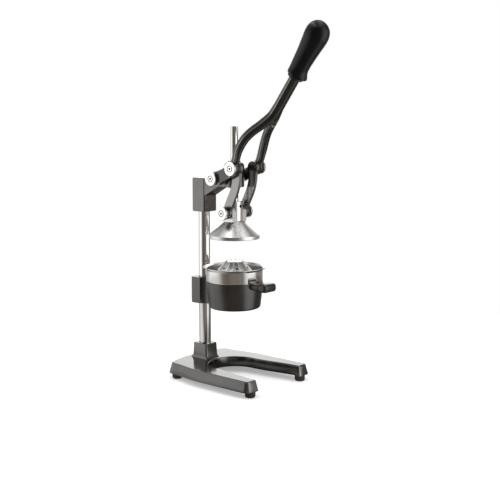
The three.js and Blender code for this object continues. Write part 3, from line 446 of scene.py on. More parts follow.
castGroup, lineGroup, latheGroup = makeCastGroup(), makeLineGroup(), makeLatheGroup()


def newFinish(name, group, look, settings):
    material = bpy.data.materials.new(name)
    material.use_nodes = True
    tree = material.node_tree
    shader = tree.nodes["Principled BSDF"]
    shader.inputs["Metallic"].default_value = look.get("metal", 1)
    shader.inputs["Specular IOR Level"].default_value = look.get("specular", 0.5)
    effect = tree.nodes.new("ShaderNodeGroup")
    effect.node_tree = group
    for label, value in settings.items():
        effect.inputs[label].default_value = value
    return material, tree, shader, effect.outputs


# the dark and the light tone, the gloss and the height of the grain
def coat(tree, tone, gloss, height, look, shader):
    node = colourMix(tree, tone)
    node.inputs["A"].default_value = (*look["dark"], 1)
    node.inputs["B"].default_value = (*look["light"], 1)
    tree.links.new(node.outputs["Result"], shader.inputs["Base Color"])
    rough = spread(tree, gloss, effects["glossFrom"], effects["glossTo"], *look["rough"])
    tree.links.new(rough, shader.inputs["Roughness"])
    bump = tree.nodes.new("ShaderNodeBump")
    bump.inputs["Distance"].default_value = look["depth"] * mm
    tree.links.new(height, bump.inputs["Height"])
    tree.links.new(bump.outputs["Normal"], shader.inputs["Normal"])


# another colour comes over what is there, by the factor
def overlay(tree, factor, colour, shader):
    node = colourMix(tree, factor)
    tree.links.new(shader.inputs["Base Color"].links[0].from_socket, node.inputs["A"])
    node.inputs["B"].default_value = colour
    tree.links.new(node.outputs["Result"], shader.inputs["Base Color"])


def castFinish(name, look):
    settings = {"Grain": look["grain"], "Unevenness": effects["unevenness"]}
    material, tree, shader, effect = newFinish(name, castGroup, look, settings)
    coat(tree, effect["Mottle"], effect["Mottle"], effect["Height"], look, shader)
    # sharp edges go lighter: partly worn paint, partly a painted highlight along them
    wearAndHighlight = mathNode(tree, "MULTIPLY", effect["Edge"], look.get("wear", 0))
    # the seam's line is painted lighter: a painted highlight along the parting line and the crotch's rim
    if "line" in look:
        line = tree.nodes.new("ShaderNodeAttribute")
        line.attribute_name = "seamHighlightMask"
        seam = mathNode(tree, "MULTIPLY", line.outputs["Fac"], look["line"])
        wearAndHighlight = mathNode(tree, "MAXIMUM", wearAndHighlight, seam)
    overlay(tree, wearAndHighlight, effects["bareMetalAndHighlight"], shader)
    return material


def lineFinish(name, look):
    settings = {"Stretch": look.get("stretch", (1, 1, 1)), "Scale": look["scale"]}
    material, tree, shader, effect = newFinish(name, lineGroup, look, settings)
    coat(tree, effect["Smudge"], effect["Lines"], effect["Lines"], look, shader)
    return material


# painted shade in a groove or socket: a band round the line, from one distance to another, goes darker
def paintShadeBand(tree, reach, inner, outer, amount, shader):
    soft = effects["shadeSoft"] * mm
    into = spread(tree, reach, inner * mm - soft, inner * mm + soft, 0, 1)
    out = spread(tree, reach, outer * mm - soft, outer * mm + soft, 1, 0)
    band = mathNode(tree, "MULTIPLY", mathNode(tree, "MULTIPLY", into, out), amount)
    overlay(tree, band, effects["shadeTone"], shader)


def latheFinish(name, look, centre, mask):
    settings = {"Centre": centre, "Mask": mask, "Pitch": look["pitch"]}
    material, tree, shader, effect = newFinish(name, latheGroup, look, settings)
    coat(tree, effect["Smudge"], effect["Rings"], effect["Rings"], look, shader)
    # painted shade: darker bands at the distances the look lists
    for inner, outer, amount in look.get("grime", ()):
        paintShadeBand(tree, effect["Reach"], inner, outer, amount, shader)
    return material


looks = {
    "greyCasting": {"dark": (0.098, 0.096, 0.092), "light": (0.136, 0.133, 0.128), "metal": 0.95,
                    "rough": (0.12, 0.18), "grain": 1100, "depth": 0.005, "wear": 0.6},
    # a lighter copy of the grey casting paint for the head bracket: painted light for its brighter faces
    "headCasting": {"dark": (0.135, 0.132, 0.127), "light": (0.175, 0.172, 0.166), "metal": 0.95,
                    "rough": (0.12, 0.18), "grain": 1100, "depth": 0.005, "wear": 0.6},
    "darkCasting": {"dark": (0.082, 0.081, 0.077), "light": (0.118, 0.116, 0.111), "metal": 0.95,
                    "rough": (0.2, 0.28), "grain": 1300, "depth": 0.009},
    "leverCasting": {"dark": (0.07, 0.069, 0.066), "light": (0.1, 0.098, 0.094), "metal": 0.95,
                     "rough": (0.14, 0.2), "grain": 1100, "depth": 0.005, "wear": 0.6, "line": 0.55},
    "rawCasting": {"dark": (0.05, 0.05, 0.048), "light": (0.09, 0.09, 0.087), "metal": 0.6,
                   "rough": (0.5, 0.65), "grain": 1500, "depth": 0.03},
    "satinLink": {"dark": (0.25, 0.243, 0.236), "light": (0.3, 0.293, 0.286), "rough": (0.18, 0.26),
                  "stretch": (1, 0.2, 0.12), "scale": 2600, "depth": 0.003},
    "chromedBar": {"dark": (0.68, 0.67, 0.655), "light": (0.76, 0.75, 0.735), "rough": (0.06, 0.1),
                   "stretch": (0.2, 0.2, 1), "scale": 2200, "depth": 0.0008},
    "platedSteel": {"dark": (0.5, 0.49, 0.475), "light": (0.6, 0.59, 0.58), "rough": (0.18, 0.26),
                    "scale": 900, "depth": 0.003},
    "blackSteel": {"dark": (0.025, 0.025, 0.027), "light": (0.05, 0.05, 0.052), "metal": 0.8,
                   "rough": (0.26, 0.36), "scale": 900, "depth": 0.006},
    "darkPlate": {"dark": (0.06, 0.06, 0.058), "light": (0.1, 0.1, 0.097), "metal": 0.95,
                  "rough": (0.26, 0.36), "scale": 900, "depth": 0.006},
    "gripBlack": {"dark": (0.003, 0.003, 0.0033), "light": (0.006, 0.006, 0.0065), "metal": 0,
                  "rough": (0.22, 0.28), "scale": 160, "depth": 0.004, "specular": 0.22},
    "handleBlack": {"dark": (0.04, 0.04, 0.038), "light": (0.06, 0.06, 0.057), "metal": 0.8,
                    "rough": (0.2, 0.28), "scale": 1500, "depth": 0.006},
    "rubber": {"dark": (0.014, 0.014, 0.014), "light": (0.028, 0.028, 0.027), "metal": 0,
               "rough": (0.6, 0.75), "scale": 1200, "depth": 0.02},
    # polished screws: painted shade darkens the hex socket, the groove and a ring by the outer rim
    "polished": {"dark": (0.82, 0.815, 0.805), "light": (0.88, 0.875, 0.87), "rough": (0.06, 0.1),
                 "pitch": 2400, "depth": 0.0008,
                 "grime": ((-1, 2.3, 0.95), (4.9, 6.5, 0.7), (13.0, 13.5, 0.55))},
    "bronze": {"dark": (0.13, 0.1, 0.07), "light": (0.22, 0.17, 0.12), "rough": (0.34, 0.46),
               "pitch": 1800, "depth": 0.006},
    "satinAluminium": {"dark": (0.6, 0.6, 0.595), "light": (0.67, 0.67, 0.665), "rough": (0.27, 0.33),
                       "pitch": 900, "depth": 0.0014},
    "stainless": {"dark": (0.59, 0.575, 0.56), "light": (0.66, 0.645, 0.63), "rough": (0.12, 0.17),
                  "pitch": 1300, "depth": 0.0012},
    "stainlessInside": {"dark": (0.38, 0.37, 0.355), "light": (0.46, 0.445, 0.43), "metal": 0.72,
                        "rough": (0.34, 0.42), "pitch": 1300, "depth": 0.0012},
}


def finishes(maker, names, *more):
    return [maker(name, looks[name], *more) for name in names.split()]


plungerLine, roundUpright = (0, axisY * mm, 0), (1, 1, 0)
greyCasting, headCasting, darkCasting, leverCasting, rawCasting = finishes(
    castFinish, "greyCasting headCasting darkCasting leverCasting rawCasting")
satinLink, chromedBar, platedSteel, blackSteel, darkPlate = finishes(
    lineFinish, "satinLink chromedBar platedSteel blackSteel darkPlate")
gripBlack, handleBlack, rubber = finishes(lineFinish, "gripBlack handleBlack rubber")
bronze, satinAluminium, stainless, stainlessInside = finishes(
    latheFinish, "bronze satinAluminium stainless stainlessInside", plungerLine, roundUpright)
print("finishes made")


def dress(piece, material, body, slot, *nodes):
    piece.data.materials.clear()
    piece.data.materials.append(material)
    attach(piece, body)
    if nodes:
        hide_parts(*nodes)
    return piece


# the faces that the test picks get a second finish
def dressPart(piece, material, isPart):
    piece.data.materials.append(material)
    for face in piece.data.polygons:
        if isPart(face.center):
            face.material_index = 1


# room left round a bar, bores for a set screw, the bolt and an axle, and how far a cut runs past a face
fits = {"slack": 0.3, "screw": 3.3, "bolt": 4.9, "axle": 6.3, "past": 2, "screwSides": 32, "barSides": 96}


def setScrewBore(node, y, start, end):
    return boreAlong(yAxis, at(0, y, middleOf(node).z), fits["screw"], start, end, fits["screwSides"])


# base casting: a horseshoe shell, hollow below, with a socket for the column
base = {"draft": 5.6, "innerDraft": 2, "roof": 6, "wall": 5, "legEnd": 109.7, "back": 114, "backDrop": 10,
        "backHalf": 66, "cornerHalf": 79, "cornerBehind": 90, "halfWidth": 88.5, "straightFrom": 6,
        "legCorner": 7.5, "mouthHalf": 64.1, "mouthCorner": 3, "bayRadius": 52, "edge": 1.8,
        "bottomEdge": 0.8, "border": 0.8, "floor": 11.2, "top": 31.6, "post": 8, "boss": 21, "bossFoot": 17.4,
        "sunk": 3, "boreTop": 70, "boltFrom": 10, "boltOver": 1, "screwReach": 30, "footScrew": 2.7,
        "footScrewFrom": 9, "footScrewTo": 20.2}
socket = {"height": 29.9, "topX": 32, "topY": 36, "footX": 38, "footY": 46, "corner": 3.6, "edge": 1.4,
          "border": 0.6}
# up the socket, and how far its flare has drawn in
flareShares = ((-0.04, 0), (0.0, 0), (0.025, 0.12), (0.055, 0.3), (0.09, 0.48), (0.14, 0.62), (0.22, 0.76),
               (0.95, 0.985))
feet = ("foot_front_left", "foot_front_right", "foot_back_left", "foot_back_right")
columnBox = boxOf("column")
columnY = middleOf("column").y - axisY
columnRadius = (columnBox[1].x - columnBox[0].x) / 2


def horseshoe(inset):
    b = base
    back, corner, half = b["back"] - inset, b["cornerHalf"] - inset, b["halfWidth"] - inset
    end, mouth, bay = b["legEnd"] - inset, b["mouthHalf"] + inset, b["bayRadius"] + inset
    behind = b["cornerBehind"]
    kept = bezier([(0, back), (b["backHalf"] / 2, back), (b["backHalf"] - inset, back - b["backDrop"])], 10)
    kept += bezier([kept[-1], (corner, behind + b["backDrop"] - inset), (corner, behind - inset)], 8, False)
    kept += bezier([kept[-1], (corner, behind * 2 / 3), (half, behind / 2), (half, b["straightFrom"])],
                   16, False)
    kept += bezier([kept[-1], (half, b["legCorner"] - end)], 6, False)
    kept += bezier([kept[-1], (half, -end), (half - b["legCorner"], -end)], 8, False)
    kept += bezier([kept[-1], (mouth + b["mouthCorner"], -end)], 2, False)
    kept += bezier([kept[-1], (mouth, -end), (mouth, b["mouthCorner"] - end)], 5, False)
    kept += bezier([kept[-1], (mouth, -end * 2 / 3), (bay, -end / 3), (bay, 0)], 20, False)
    quarter = [math.pi / 2 * k / 24 for k in range(1, 25)]
    kept += [Vector((bay * math.cos(a), bay * math.sin(a))) for a in quarter]
    other = [Vector((-p.x, p.y)) for p in reversed(kept[1:-1])]
    return list(reversed(kept + other))


# every point moved outward by its own amount
def grown(outline, amount):
    moved = []
    for i, p in enumerate(outline):
        after = outline[(i + 1) % len(outline)]
        d1, d2 = (p - outline[i - 1]).normalized(), (after - p).normalized()
        n1, n2 = Vector((d1.y, -d1.x)), Vector((d2.y, -d2.x))
        n = (n1 + n2).normalized()
        moved.append(p + n * (amount(p) / n.dot(n1)))
    return moved


# the draft is smaller round the bay than outside
def lean(inset, share=1):
    bay = base["mouthHalf"] + inset + fits["slack"]
    return lambda p: share * (base["innerDraft"] if math.hypot(p.x, max(0, p.y)) < bay else base["draft"])


def level(outline, z):
    return [at(p.x, p.y, z) for p in outline]


def makeShell():
    b = base
    rise = b["top"] - b["floor"]
    top, roof = horseshoe(0), horseshoe(b["wall"])
    rings = [level(roof, b["top"] - b["roof"]), level(grown(roof, lean(b["wall"])), b["floor"])]
    rings.append(level(grown(top, lambda p: lean(0)(p) - b["bottomEdge"]), b["floor"]))
    for k in range(1, 4):
        angle = math.pi / 6 * k
        out, up = b["bottomEdge"] * (math.sin(angle) - 1), b["bottomEdge"] * (1 - math.cos(angle))
        rings.append(level(grown(top, lambda p: lean(0, 1 - up / rise)(p) + out), b["floor"] + up))
    for k in range(0, 8):
        angle = math.pi / 14 * k
        inward, below = b["edge"] * (1 - math.cos(angle)), b["edge"] * (1 - math.sin(angle))
        rings.append(level(grown(horseshoe(inward), lean(inward, below / rise)), b["top"] - below))
    return loftPiece("base", rings, b["border"])


def makeSocket():
    s = socket
    block = []
    for up, drawn in flareShares:
        block.append((up, mix(s["footX"], s["topX"], drawn), mix(s["footY"], s["topY"], drawn), 0))
    for k in range(0, 6):
        angle = math.pi / 10 * k
        up = 1 - s["edge"] / s["height"] * (1 - math.sin(angle))
        block.append((up, s["topX"], s["topY"], s["edge"] * (1 - math.cos(angle))))
    rings = []
    for up, width, depth, drawn in block:
        ring = roundedBox(width / 2 - drawn, depth / 2 - drawn, s["corner"], 6)
        rings.append([at(x, y + columnY, base["top"] + s["height"] * up) for x, y in ring])
    return loftPiece("block", rings, s["border"])


def makeBase():
    b = base
    body = fuse(makeShell(), makeSocket())
    under = b["top"] - b["sunk"]
    centre = at(0, columnY, 0)
    spots = [at(middleOf(n).x, local(middleOf(n)).y, 0) for n in feet]
    postPath = [(0, b["floor"]), (b["post"], b["floor"]), (b["post"], under), (0, under)]
    posts = [turnPiece("post", spot, zAxis, postPath, 32) for spot in spots]
    bossPath = [(0, b["bossFoot"]), (b["boss"], b["bossFoot"]), (b["boss"], under), (0, under)]
    body = fuse(body, turnPiece("boss", centre, zAxis, bossPath, 48), *posts)
    foot = columnBox[0].z
    holes = [boreAlong(zAxis, centre, columnRadius + fits["slack"], foot - fits["slack"], b["boreTop"],
                       fits["barSides"]),
             boreAlong(zAxis, centre, fits["bolt"], b["boltFrom"], foot + b["boltOver"]),
             setScrewBore("socket_set_screw", columnY, 0, b["screwReach"])]
    for spot in spots:
        holes.append(boreAlong(zAxis, spot, b["footScrew"], b["footScrewFrom"], b["footScrewTo"], 24))
    body = cutAway(body, *holes)
    tidyMesh(body)
    return dress(body, greyCasting, "stand", "grey_casting", "base_casting")


makeBase()
print("base made")

# rubber feet
footShape = {"recess": 5.7, "recessDepth": 1, "foot": 8.6, "footRound": 0.8, "radius": 9.9, "step": 3,
             "stepRound": 1.2, "top": 10.9, "topRound": 0.5, "bore": 2.7, "ledge": 4.2}
for node in feet:
    f = footShape
    spot = local(middleOf(node))
    path = rounded([(f["recess"], f["recessDepth"]), (f["recess"], 0), (f["foot"], 0, f["footRound"]),
                    (f["radius"], f["step"], f["stepRound"]), (f["radius"], f["top"], f["topRound"]),
                    (f["bore"], f["top"]), (f["bore"], f["ledge"]), (f["recess"], f["ledge"]),
                    (f["recess"], f["recessDepth"])])
    foot = turnPiece(node.replace("foot", "rubberFoot"), at(spot.x, spot.y, 0), zAxis, path, 64)
    dress(foot, rubber, "stand", "rubber", node)

# column and plunger rod
bars = {"columnBar": ("column", "stand"), "plungerBar": ("plunger_rod", "plunger")}
barEdge = {"foot": 0.8, "top": 0.9}
for name, (node, body) in bars.items():
    low, high = boxOf(node)
    centre, radius = middleOf(node), (high.x - low.x) / 2
    path = [(0, low.z), (radius, low.z, barEdge["foot"]), (radius, high.z, barEdge["top"]), (0, high.z)]
    bar = turnPiece(name, Vector((centre.x, centre.y, 0)) * mm, zAxis, rounded(path), 128)
    dress(bar, chromedBar, body, "chromed_bar", node)
print("bars made")

# head bracket: clamp block, arm, sleeve for the plunger, and cross boss for the fulcrum
fulcrumAt, linkAt, wristAt = [local(middleOf(n)) for n in ("fulcrum_axle", "link_screw_left", "wrist_pin")]
bracketBox = boxOf("head_bracket")
bracket = {"width": 36, "depth": 35, "height": 67, "corner": 4, "edge": 2.2, "armHalf": 17, "armRim": 2.4,
           "armRise": 32.6, "throat": 28, "cornerDrop": 2.5, "sleeveRadius": 19.3, "sleeveDrop": 16.4,
           "sleeveHeight": 48, "sleeveRound": 7, "sleeveEdge": 1, "crown": 6, "boss": 13, "bossEnd": 26.2,
           "bossEdge": 0.8, "bossReach": 32, "bush": 10.9, "bushLength": 14.3, "rodBore": 9,
           "screwReach": 22, "voxel": 0.7, "easing": 2}


def makeClampBlock(foot, top):
    b = bracket
    e = b["edge"]
    eighths = [math.pi / 8 * k for k in range(5)]
    levels = [(foot + e * (1 - math.cos(a)), e * (1 - math.sin(a))) for a in eighths]
    levels += [(top - e * (1 - math.sin(a)), e * (1 - math.cos(a))) for a in eighths]
    rings = []
    for z, inward in levels:
        ring = roundedBox(b["width"] / 2 - inward, b["depth"] / 2 - inward, b["corner"])
        rings.append([at(x, y + columnY, z) for x, y in ring])
    return loftPiece("bracket", rings, 0)


def makeArm(foot, top, sleeveFoot):
    b = bracket
    front, crown = columnY - b["depth"] / 2, fulcrumAt.z + b["crown"]
    corners = ((columnY, foot + b["armRise"] - b["cornerDrop"]), (front, foot + b["armRise"]),
               (b["throat"], sleeveFoot), (0, sleeveFoot), (0, crown), (fulcrumAt.y, crown))
    arm = [Vector(p) for p in corners]
    arm += bezier([arm[-1], (front - b["throat"] / 2, top), (front + b["cornerDrop"], top)], 10, False)
    arm.append(Vector((columnY, top)))
    outline = [at(-b["armHalf"], p.x, p.y) for p in arm]
    return platePiece("arm", outline, xAxis * 2 * b["armHalf"] * mm, b["armRim"], 4)


def makeBracket():
    b = bracket
    foot = bracketBox[0].z
    top, sleeveFoot = foot + b["height"], fulcrumAt.z - b["sleeveDrop"]
    body = fuse(makeClampBlock(foot, top), makeArm(foot, top, sleeveFoot))
    sleeveTop = sleeveFoot + b["sleeveHeight"]
    sleevePath = rounded([(0, sleeveFoot), (b["sleeveRadius"], sleeveFoot, b["sleeveEdge"]),
                          (b["sleeveRadius"], sleeveTop, b["sleeveRound"]), (0, sleeveTop)], False, 8)
    bossPath = rounded([(0, -b["bossEnd"]), (b["boss"], -b["bossEnd"], b["bossEdge"]),
                        (b["boss"], b["bossEnd"], b["bossEdge"]), (0, b["bossEnd"])])
    axis, fulcrum = at(0, 0, 0), at(0, fulcrumAt.y, fulcrumAt.z)
    body = fuse(body, turnPiece("sleeve", axis, zAxis, sleevePath, 96),
                turnPiece("boss", fulcrum, xAxis, bossPath, 72))
    past, slack = fits["past"], fits["slack"]
    holes = [boreAlong(zAxis, at(0, columnY, 0), columnRadius + slack, foot - past, columnBox[1].z + slack,
                       fits["barSides"]),
             boreAlong(zAxis, axis, b["rodBore"], sleeveFoot - past, sleeveTop + past, 72),
             boreAlong(zAxis, axis, b["bush"], sleeveFoot - past, sleeveFoot + b["bushLength"], 72),
             boreAlong(zAxis, axis, b["bush"], sleeveTop - b["bushLength"], sleeveTop + past, 72),
             boreAlong(xAxis, fulcrum, fits["axle"], -b["bossReach"], b["bossReach"])]
    holes += [setScrewBore(n, columnY, 0, b["screwReach"])
              for n in ("bracket_set_screw_lower", "bracket_set_screw_upper")]
    body = cutAway(body, *holes)
    castSkin(body, b["voxel"], b["easing"])
    # the bracket takes the lighter copy of the grey paint as painted light
    return dress(body, headCasting, "stand", "grey_casting", "head_bracket")


makeBracket()
bush = {"bore": 8.3, "outside": 10.6, "flange": 12.5, "flangeHeight": 1.5, "deepEdge": 0.4, "underEdge": 0.3,
        "edge": 0.5}
for node, outward in (("sleeve_bush_bottom", -1), ("sleeve_bush_top", 1)):
    b = bush
    low, high = boxOf(node)
    face, deep = (low.z, high.z) if outward < 0 else (high.z, low.z)
    step = face - outward * b["flangeHeight"]
    path = rounded([(b["bore"], deep), (b["outside"], deep, b["deepEdge"]), (b["outside"], step),
                    (b["flange"], step, b["underEdge"]), (b["flange"], face, b["edge"]),
                    (b["bore"], face, b["edge"]), (b["bore"], deep)])
    guide = turnPiece(node.replace("sleeve_bush", "guideBush"), at(0, 0, 0), zAxis, path, 72)
    dress(guide, bronze, "stand", "bronze", node)
print("bracket made")

# forked lever: a shaft that parts into two tines, each with a knee of two eyes at its foot
lever = {"inner": 30.5, "outer": 40.5, "thin": 1.6, "eye": 13.7, "eyeEdge": 1.1, "kneeRim": 1.6,
         "kneeShare": 0.999, "waist": 22.5, "depth": 17.4, "width": 12.8, "plate": 10, "crownDepth": 19,
         "crownWidth": 15, "ahead": 69, "rise": 97.7, "crownAhead": 94, "crownAbove": 114.6, "lean": 54,
         "shaft": 9.8, "shaftLength": 90, "shaftSunk": 4, "stud": 6, "studLength": 62, "studSunk": 3,
         "studEdge": 1, "merge": 27, "mergeApart": 1.5, "boreFrom": 26, "boreTo": 44, "voxel": 0.8,
         "easing": 3}
saddle = {"half": 11, "thin": 2, "corner": 3, "drop": 16, "rise": 4, "round": 6.4, "reach": 20}
# section of a bar cast in two halves: the seam's ridge, and the shares of its cheeks on tine and shaft
seam = {"rise": 0.7, "spread": 1.4, "sunk": 0.05, "round": 0.3, "foot": 0.5, "cheek": (0.87, 0.82),
        "cheekEnd": 0.62, "shoulder": (0.55, 0.46), "corner": 2.5}
# where the painted highlight line runs along the seam, and round the crotch's arch
seamHighlightTrack = {"half": 0.6, "soft": 2.2, "sideFrom": 0.45, "sideTo": 0.7, "above": 1, "in": 2, "out": 0.4,
       "rimFrom": 0.5, "rimTo": 1.4, "steps": 200}
# out to the side, ahead and up, from the link's eye to the crown
tineShares = ((1, 0, 0), (1, 0.1, 0.16), (1, 0.19, 0.345), (0.86, 0.35, 0.56), (0.67, 0.515, 0.7),
              (0.37, 0.78, 0.857), (0.15, 1, 1))
# where along the tine the plate becomes a bar, and the bar swells into the crown
tineTurns = {"bar": (0.15, 0.34), "crown": (0.6, 0.86), "steps": 48}
crownAt = Vector((0, -lever["crownAhead"], fulcrumAt.z + lever["crownAbove"]))
leanAngle = math.radians(lever["lean"])
shaftWay = Vector((0, -math.cos(leanAngle), math.sin(leanAngle)))
shaftFront = xAxis.cross(shaftWay).normalized()


# soft goes from the tine's section at 0 to the shaft's at 1
def seamSection(width, depth, soft):
    s = seam
    w, d = width / 2, depth / 2
    cheek, shoulder = mix(*s["cheek"], soft), mix(*s["shoulder"], soft)
    side = [(w + s["rise"], 0, s["round"]), (w - s["sunk"], s["rise"] * s["spread"], s["foot"]),
            (w * cheek, d * s["cheekEnd"], s["corner"]), (w * shoulder, d, s["corner"])]
    back = [(-x, y, r) for x, y, r in reversed(side[1:])]
    lower = [(-w - s["rise"], 0, s["round"])]
    lower += [(-x, -y, r) for x, y, r in side[1:]] + [(x, -y, r) for x, y, r in reversed(side[1:])]
    return rounded(side + back + lower, True, 4)


# places across the shaft, at a distance along it from the crown
def acrossShaft(along, section):
    return [at(*(crownAt + shaftWay * along + xAxis * x + shaftFront * y)) for x, y in section]


def tinePoints(out, apart):
    points = [Vector((out * share, linkAt.y - lever["ahead"] * ahead, linkAt.z + lever["rise"] * up))
              for share, ahead, up in tineShares]
    return points + [crownAt + shaftWay * lever["merge"] + xAxis * apart]


def makeTine(side):
    v = lever
    path, heading = smoothPath(tinePoints(side * (v["inner"] + v["outer"]) / 2, side * v["mergeApart"]))
    rings = []
    for k in range(tineTurns["steps"] + 1):
        u = k / tineTurns["steps"]
        p, t = path(u), heading(u)
        front = xAxis.cross(t).normalized()
        across = t.cross(front).normalized()
        swell = blendShare(*tineTurns["crown"], u)
        width = mix(mix(v["plate"], v["width"], blendShare(*tineTurns["bar"], u)), v["crownWidth"], swell)
        depth = mix(v["depth"], v["crownDepth"], swell)
        rings.append([at(*(p + across * x + front * y)) for x, y in seamSection(width, depth, swell)])
    return loftPiece("tine", rings, 0)


# the web in the crotch of the fork, hollowed to a round arch
def makeSaddle():
    s = saddle
    section = roundedBox(s["half"], lever["crownDepth"] / 2 - s["thin"], s["corner"], 4)
    web = loftPiece("saddle", [acrossShaft(along, section) for along in (-s["drop"], s["rise"])], 0)
    archAt = at(*(crownAt - shaftWay * s["drop"]))
    return cutAway(web, boreAlong(shaftFront, archAt, s["round"], -s["reach"], s["reach"], 40))


# two eyes joined by two edges; the parts of the edges inside an eye give way to its circle
def eyedOutline(centreA, centreB, radius, sideOne, sideTwo):
    def outside(points):
        return [p for p in points if (p - centreA).length > radius and (p - centreB).length > radius]

    def arc(centre, start, end, away):
        first, last = (start - centre), (end - centre)
        a, b = math.atan2(first.y, first.x), math.atan2(last.y, last.x)
        middle = math.atan2(away.y, away.x)
        while b <= a:
            b += 2 * math.pi
        turn = b - a
        if (middle - a) % (2 * math.pi) >= turn:
            turn -= 2 * math.pi
        count = max(6, int(abs(turn) / math.radians(6)))
        angles = [a + turn * k / count for k in range(1, count)]
        return [centre + Vector((math.cos(angle), math.sin(angle))) * radius for angle in angles]

    one, two = outside(sideOne), outside(sideTwo)
    away = (centreB - centreA).normalized()
    top, foot = arc(centreB, one[-1], two[-1], away), arc(centreA, two[0], one[0], -away)
    return one + top + list(reversed(two)) + foot


def makeKnee(side):
    v = lever
    a, b = Vector((fulcrumAt.y, fulcrumAt.z)), Vector((linkAt.y, linkAt.z))
    along = (b - a).normalized()
    up = Vector((along.y, -along.x))
    if up.y < 0:
        up = -up
    r, length, steps, within = v["eye"], (b - a).length, 40, v["kneeShare"]
    waist = 2 * (v["waist"] - r) - r
    lower, upper = [], []
    for k in range(steps + 1):
        t = k / steps
        h = mix(mix(r, waist, t), mix(waist, r, t), t) * within
        lower.append(a + along * length * k / steps - up * r * within)
        upper.append(a + along * length * t + up * h)
    outline = eyedOutline(a, b, r, lower, upper)
    start, thick = v["inner"] if side > 0 else -v["outer"], v["outer"] - v["inner"]
    plate = platePiece("knee", [at(start + v["thin"], p.x, p.y) for p in outline],
                       xAxis * (thick - 2 * v["thin"]) * mm, v["kneeRim"], 3)
    ring = rounded([(0, 0), (r, 0, v["eyeEdge"]), (r, thick, v["eyeEdge"]), (0, thick)], False, 3)
    for p in (fulcrumAt, linkAt):
        plate = fuse(plate, turnPiece("eye", at(start, p.y, p.z), xAxis, ring, 72))
    return plate


# a painted highlight line where the two halves of the mould met: along each side, and round the crotch
def paintSeamHighlight(body):
    steps = seamHighlightTrack["steps"]
    path, _ = smoothPath(tinePoints(0, 0))
    track = [path(k / steps) for k in range(steps + 1)]
    near = KDTree(steps + 1)
    for k, point in enumerate(track):
        near.insert(point, k)
    near.balance()
    track.append(crownAt + shaftWay * lever["shaftLength"])
    mark = body.data.attributes.new("seamHighlightMask", "FLOAT", "POINT")
    shares = []
    for vertex in body.data.vertices:
        spot = local(vertex.co / mm)
        flat = Vector((0, spot.y, spot.z))
        k = near.find(flat)[1]
        start, end = track[max(0, k - 1)], track[k + 1]
        way = (end - start).normalized()
        gap = ((flat - start) - way * (flat - start).dot(way)).length
        sideways = blendShare(seamHighlightTrack["sideFrom"], seamHighlightTrack["sideTo"], abs(vertex.normal.x))
        share = (1 - blendShare(seamHighlightTrack["half"], seamHighlightTrack["half"] * seamHighlightTrack["soft"], gap)) * sideways
        offset = spot - (crownAt - shaftWay * saddle["drop"])
        above = offset.dot(shaftWay)
        if above > seamHighlightTrack["above"] and abs(offset.dot(shaftFront)) > saddle["round"] - seamHighlightTrack["in"]:
            away = abs(math.hypot(offset.x, above) - saddle["round"] - seamHighlightTrack["out"])
            share = max(share, 1 - blendShare(seamHighlightTrack["rimFrom"], seamHighlightTrack["rimTo"], away))
        shares.append(share)
    mark.data.foreach_set("value", shares)


def makeLever():
    v = lever
    section = seamSection(v["shaft"] * 2, v["shaft"] * 2, 1)
    levels = [-v["shaftSunk"]] + [v["shaftLength"] * k / 6 for k in range(7)]
    body = loftPiece("leverArm", [acrossShaft(along, section) for along in levels], 0)
    low, high = v["shaftLength"] - v["studSunk"], v["shaftLength"] + v["studLength"]
    studPath = rounded([(0, low), (v["stud"], low), (v["stud"], high, v["studEdge"]), (0, high)])
    stud = turnPiece("stud", at(*crownAt), shaftWay, studPath, 48)
    body = fuse(body, stud, makeTine(-1), makeTine(1), makeSaddle(), makeKnee(-1), makeKnee(1))
    near, far = v["boreFrom"], v["boreTo"]
    holes = [boreAlong(xAxis, at(0, p.y, p.z), fits["axle"], start, end)
             for p in (fulcrumAt, linkAt) for start, end in ((-far, -near), (near, far))]
    body = cutAway(body, *holes)
    castSkin(body, v["voxel"], v["easing"])
    paintSeamHighlight(body)
    return dress(body, leverCasting, "lever_arm", "dark_casting", "lever")


makeLever()
print("lever made")

# ferrule
ferrule = {"radius": 15, "start": 90.3, "height": 6.4, "edge": 1.4, "footIn": 2.5, "footRound": 0.5,
           "footHeight": 1.6, "shoulderRound": 0.8, "pitch": 1500}
f = ferrule
low, high = f["start"], f["start"] + f["height"]
path = rounded([(fits["axle"], low), (f["radius"] - f["footIn"], low, f["footRound"]),
                (f["radius"], low + f["footHeight"], f["shoulderRound"]), (f["radius"], high, f["edge"]),
                (fits["axle"], high), (fits["axle"], low)])
ferruleLook = {**looks["blackSteel"], "pitch": f["pitch"]}
ferruleMaterial = latheFinish("ferruleSteel", ferruleLook, at(*crownAt), (1, 1, 1))
ring = turnPiece("ferruleRing", at(*crownAt), shaftWay, path, 96)
dress(ring, ferruleMaterial, "lever_arm", "black_steel", "ferrule")

# grip
grip = {"length": 111.5, "radius": 23.5, "ahead": 2.2, "lean": 58.5, "bore": 66, "sink": 2,
        "widthShare": 0.93, "seat": 97, "edge": 1.2, "smoothAngle": 50, "steps": 72}
# along the grip, its radius, and how far its middle lies ahead
gripShares = ((0, 0.74, -0.02), (0.022, 0.85, -0.02), (0.05, 0.85, -0.04), (0.09, 0.8, -0.09),
              (0.15, 0.765, -0.13), (0.23, 0.775, -0.13), (0.33, 0.805, -0.1), (0.45, 0.85, -0.06),
              (0.56, 0.91, -0.03), (0.66, 0.965, 0.0), (0.75, 1.0, 0.01), (0.83, 0.96, 0.01),
              (0.9, 0.83, 0.0), (0.955, 0.6, -0.02), (0.99, 0.28, -0.05), (1, 0.02, -0.07))


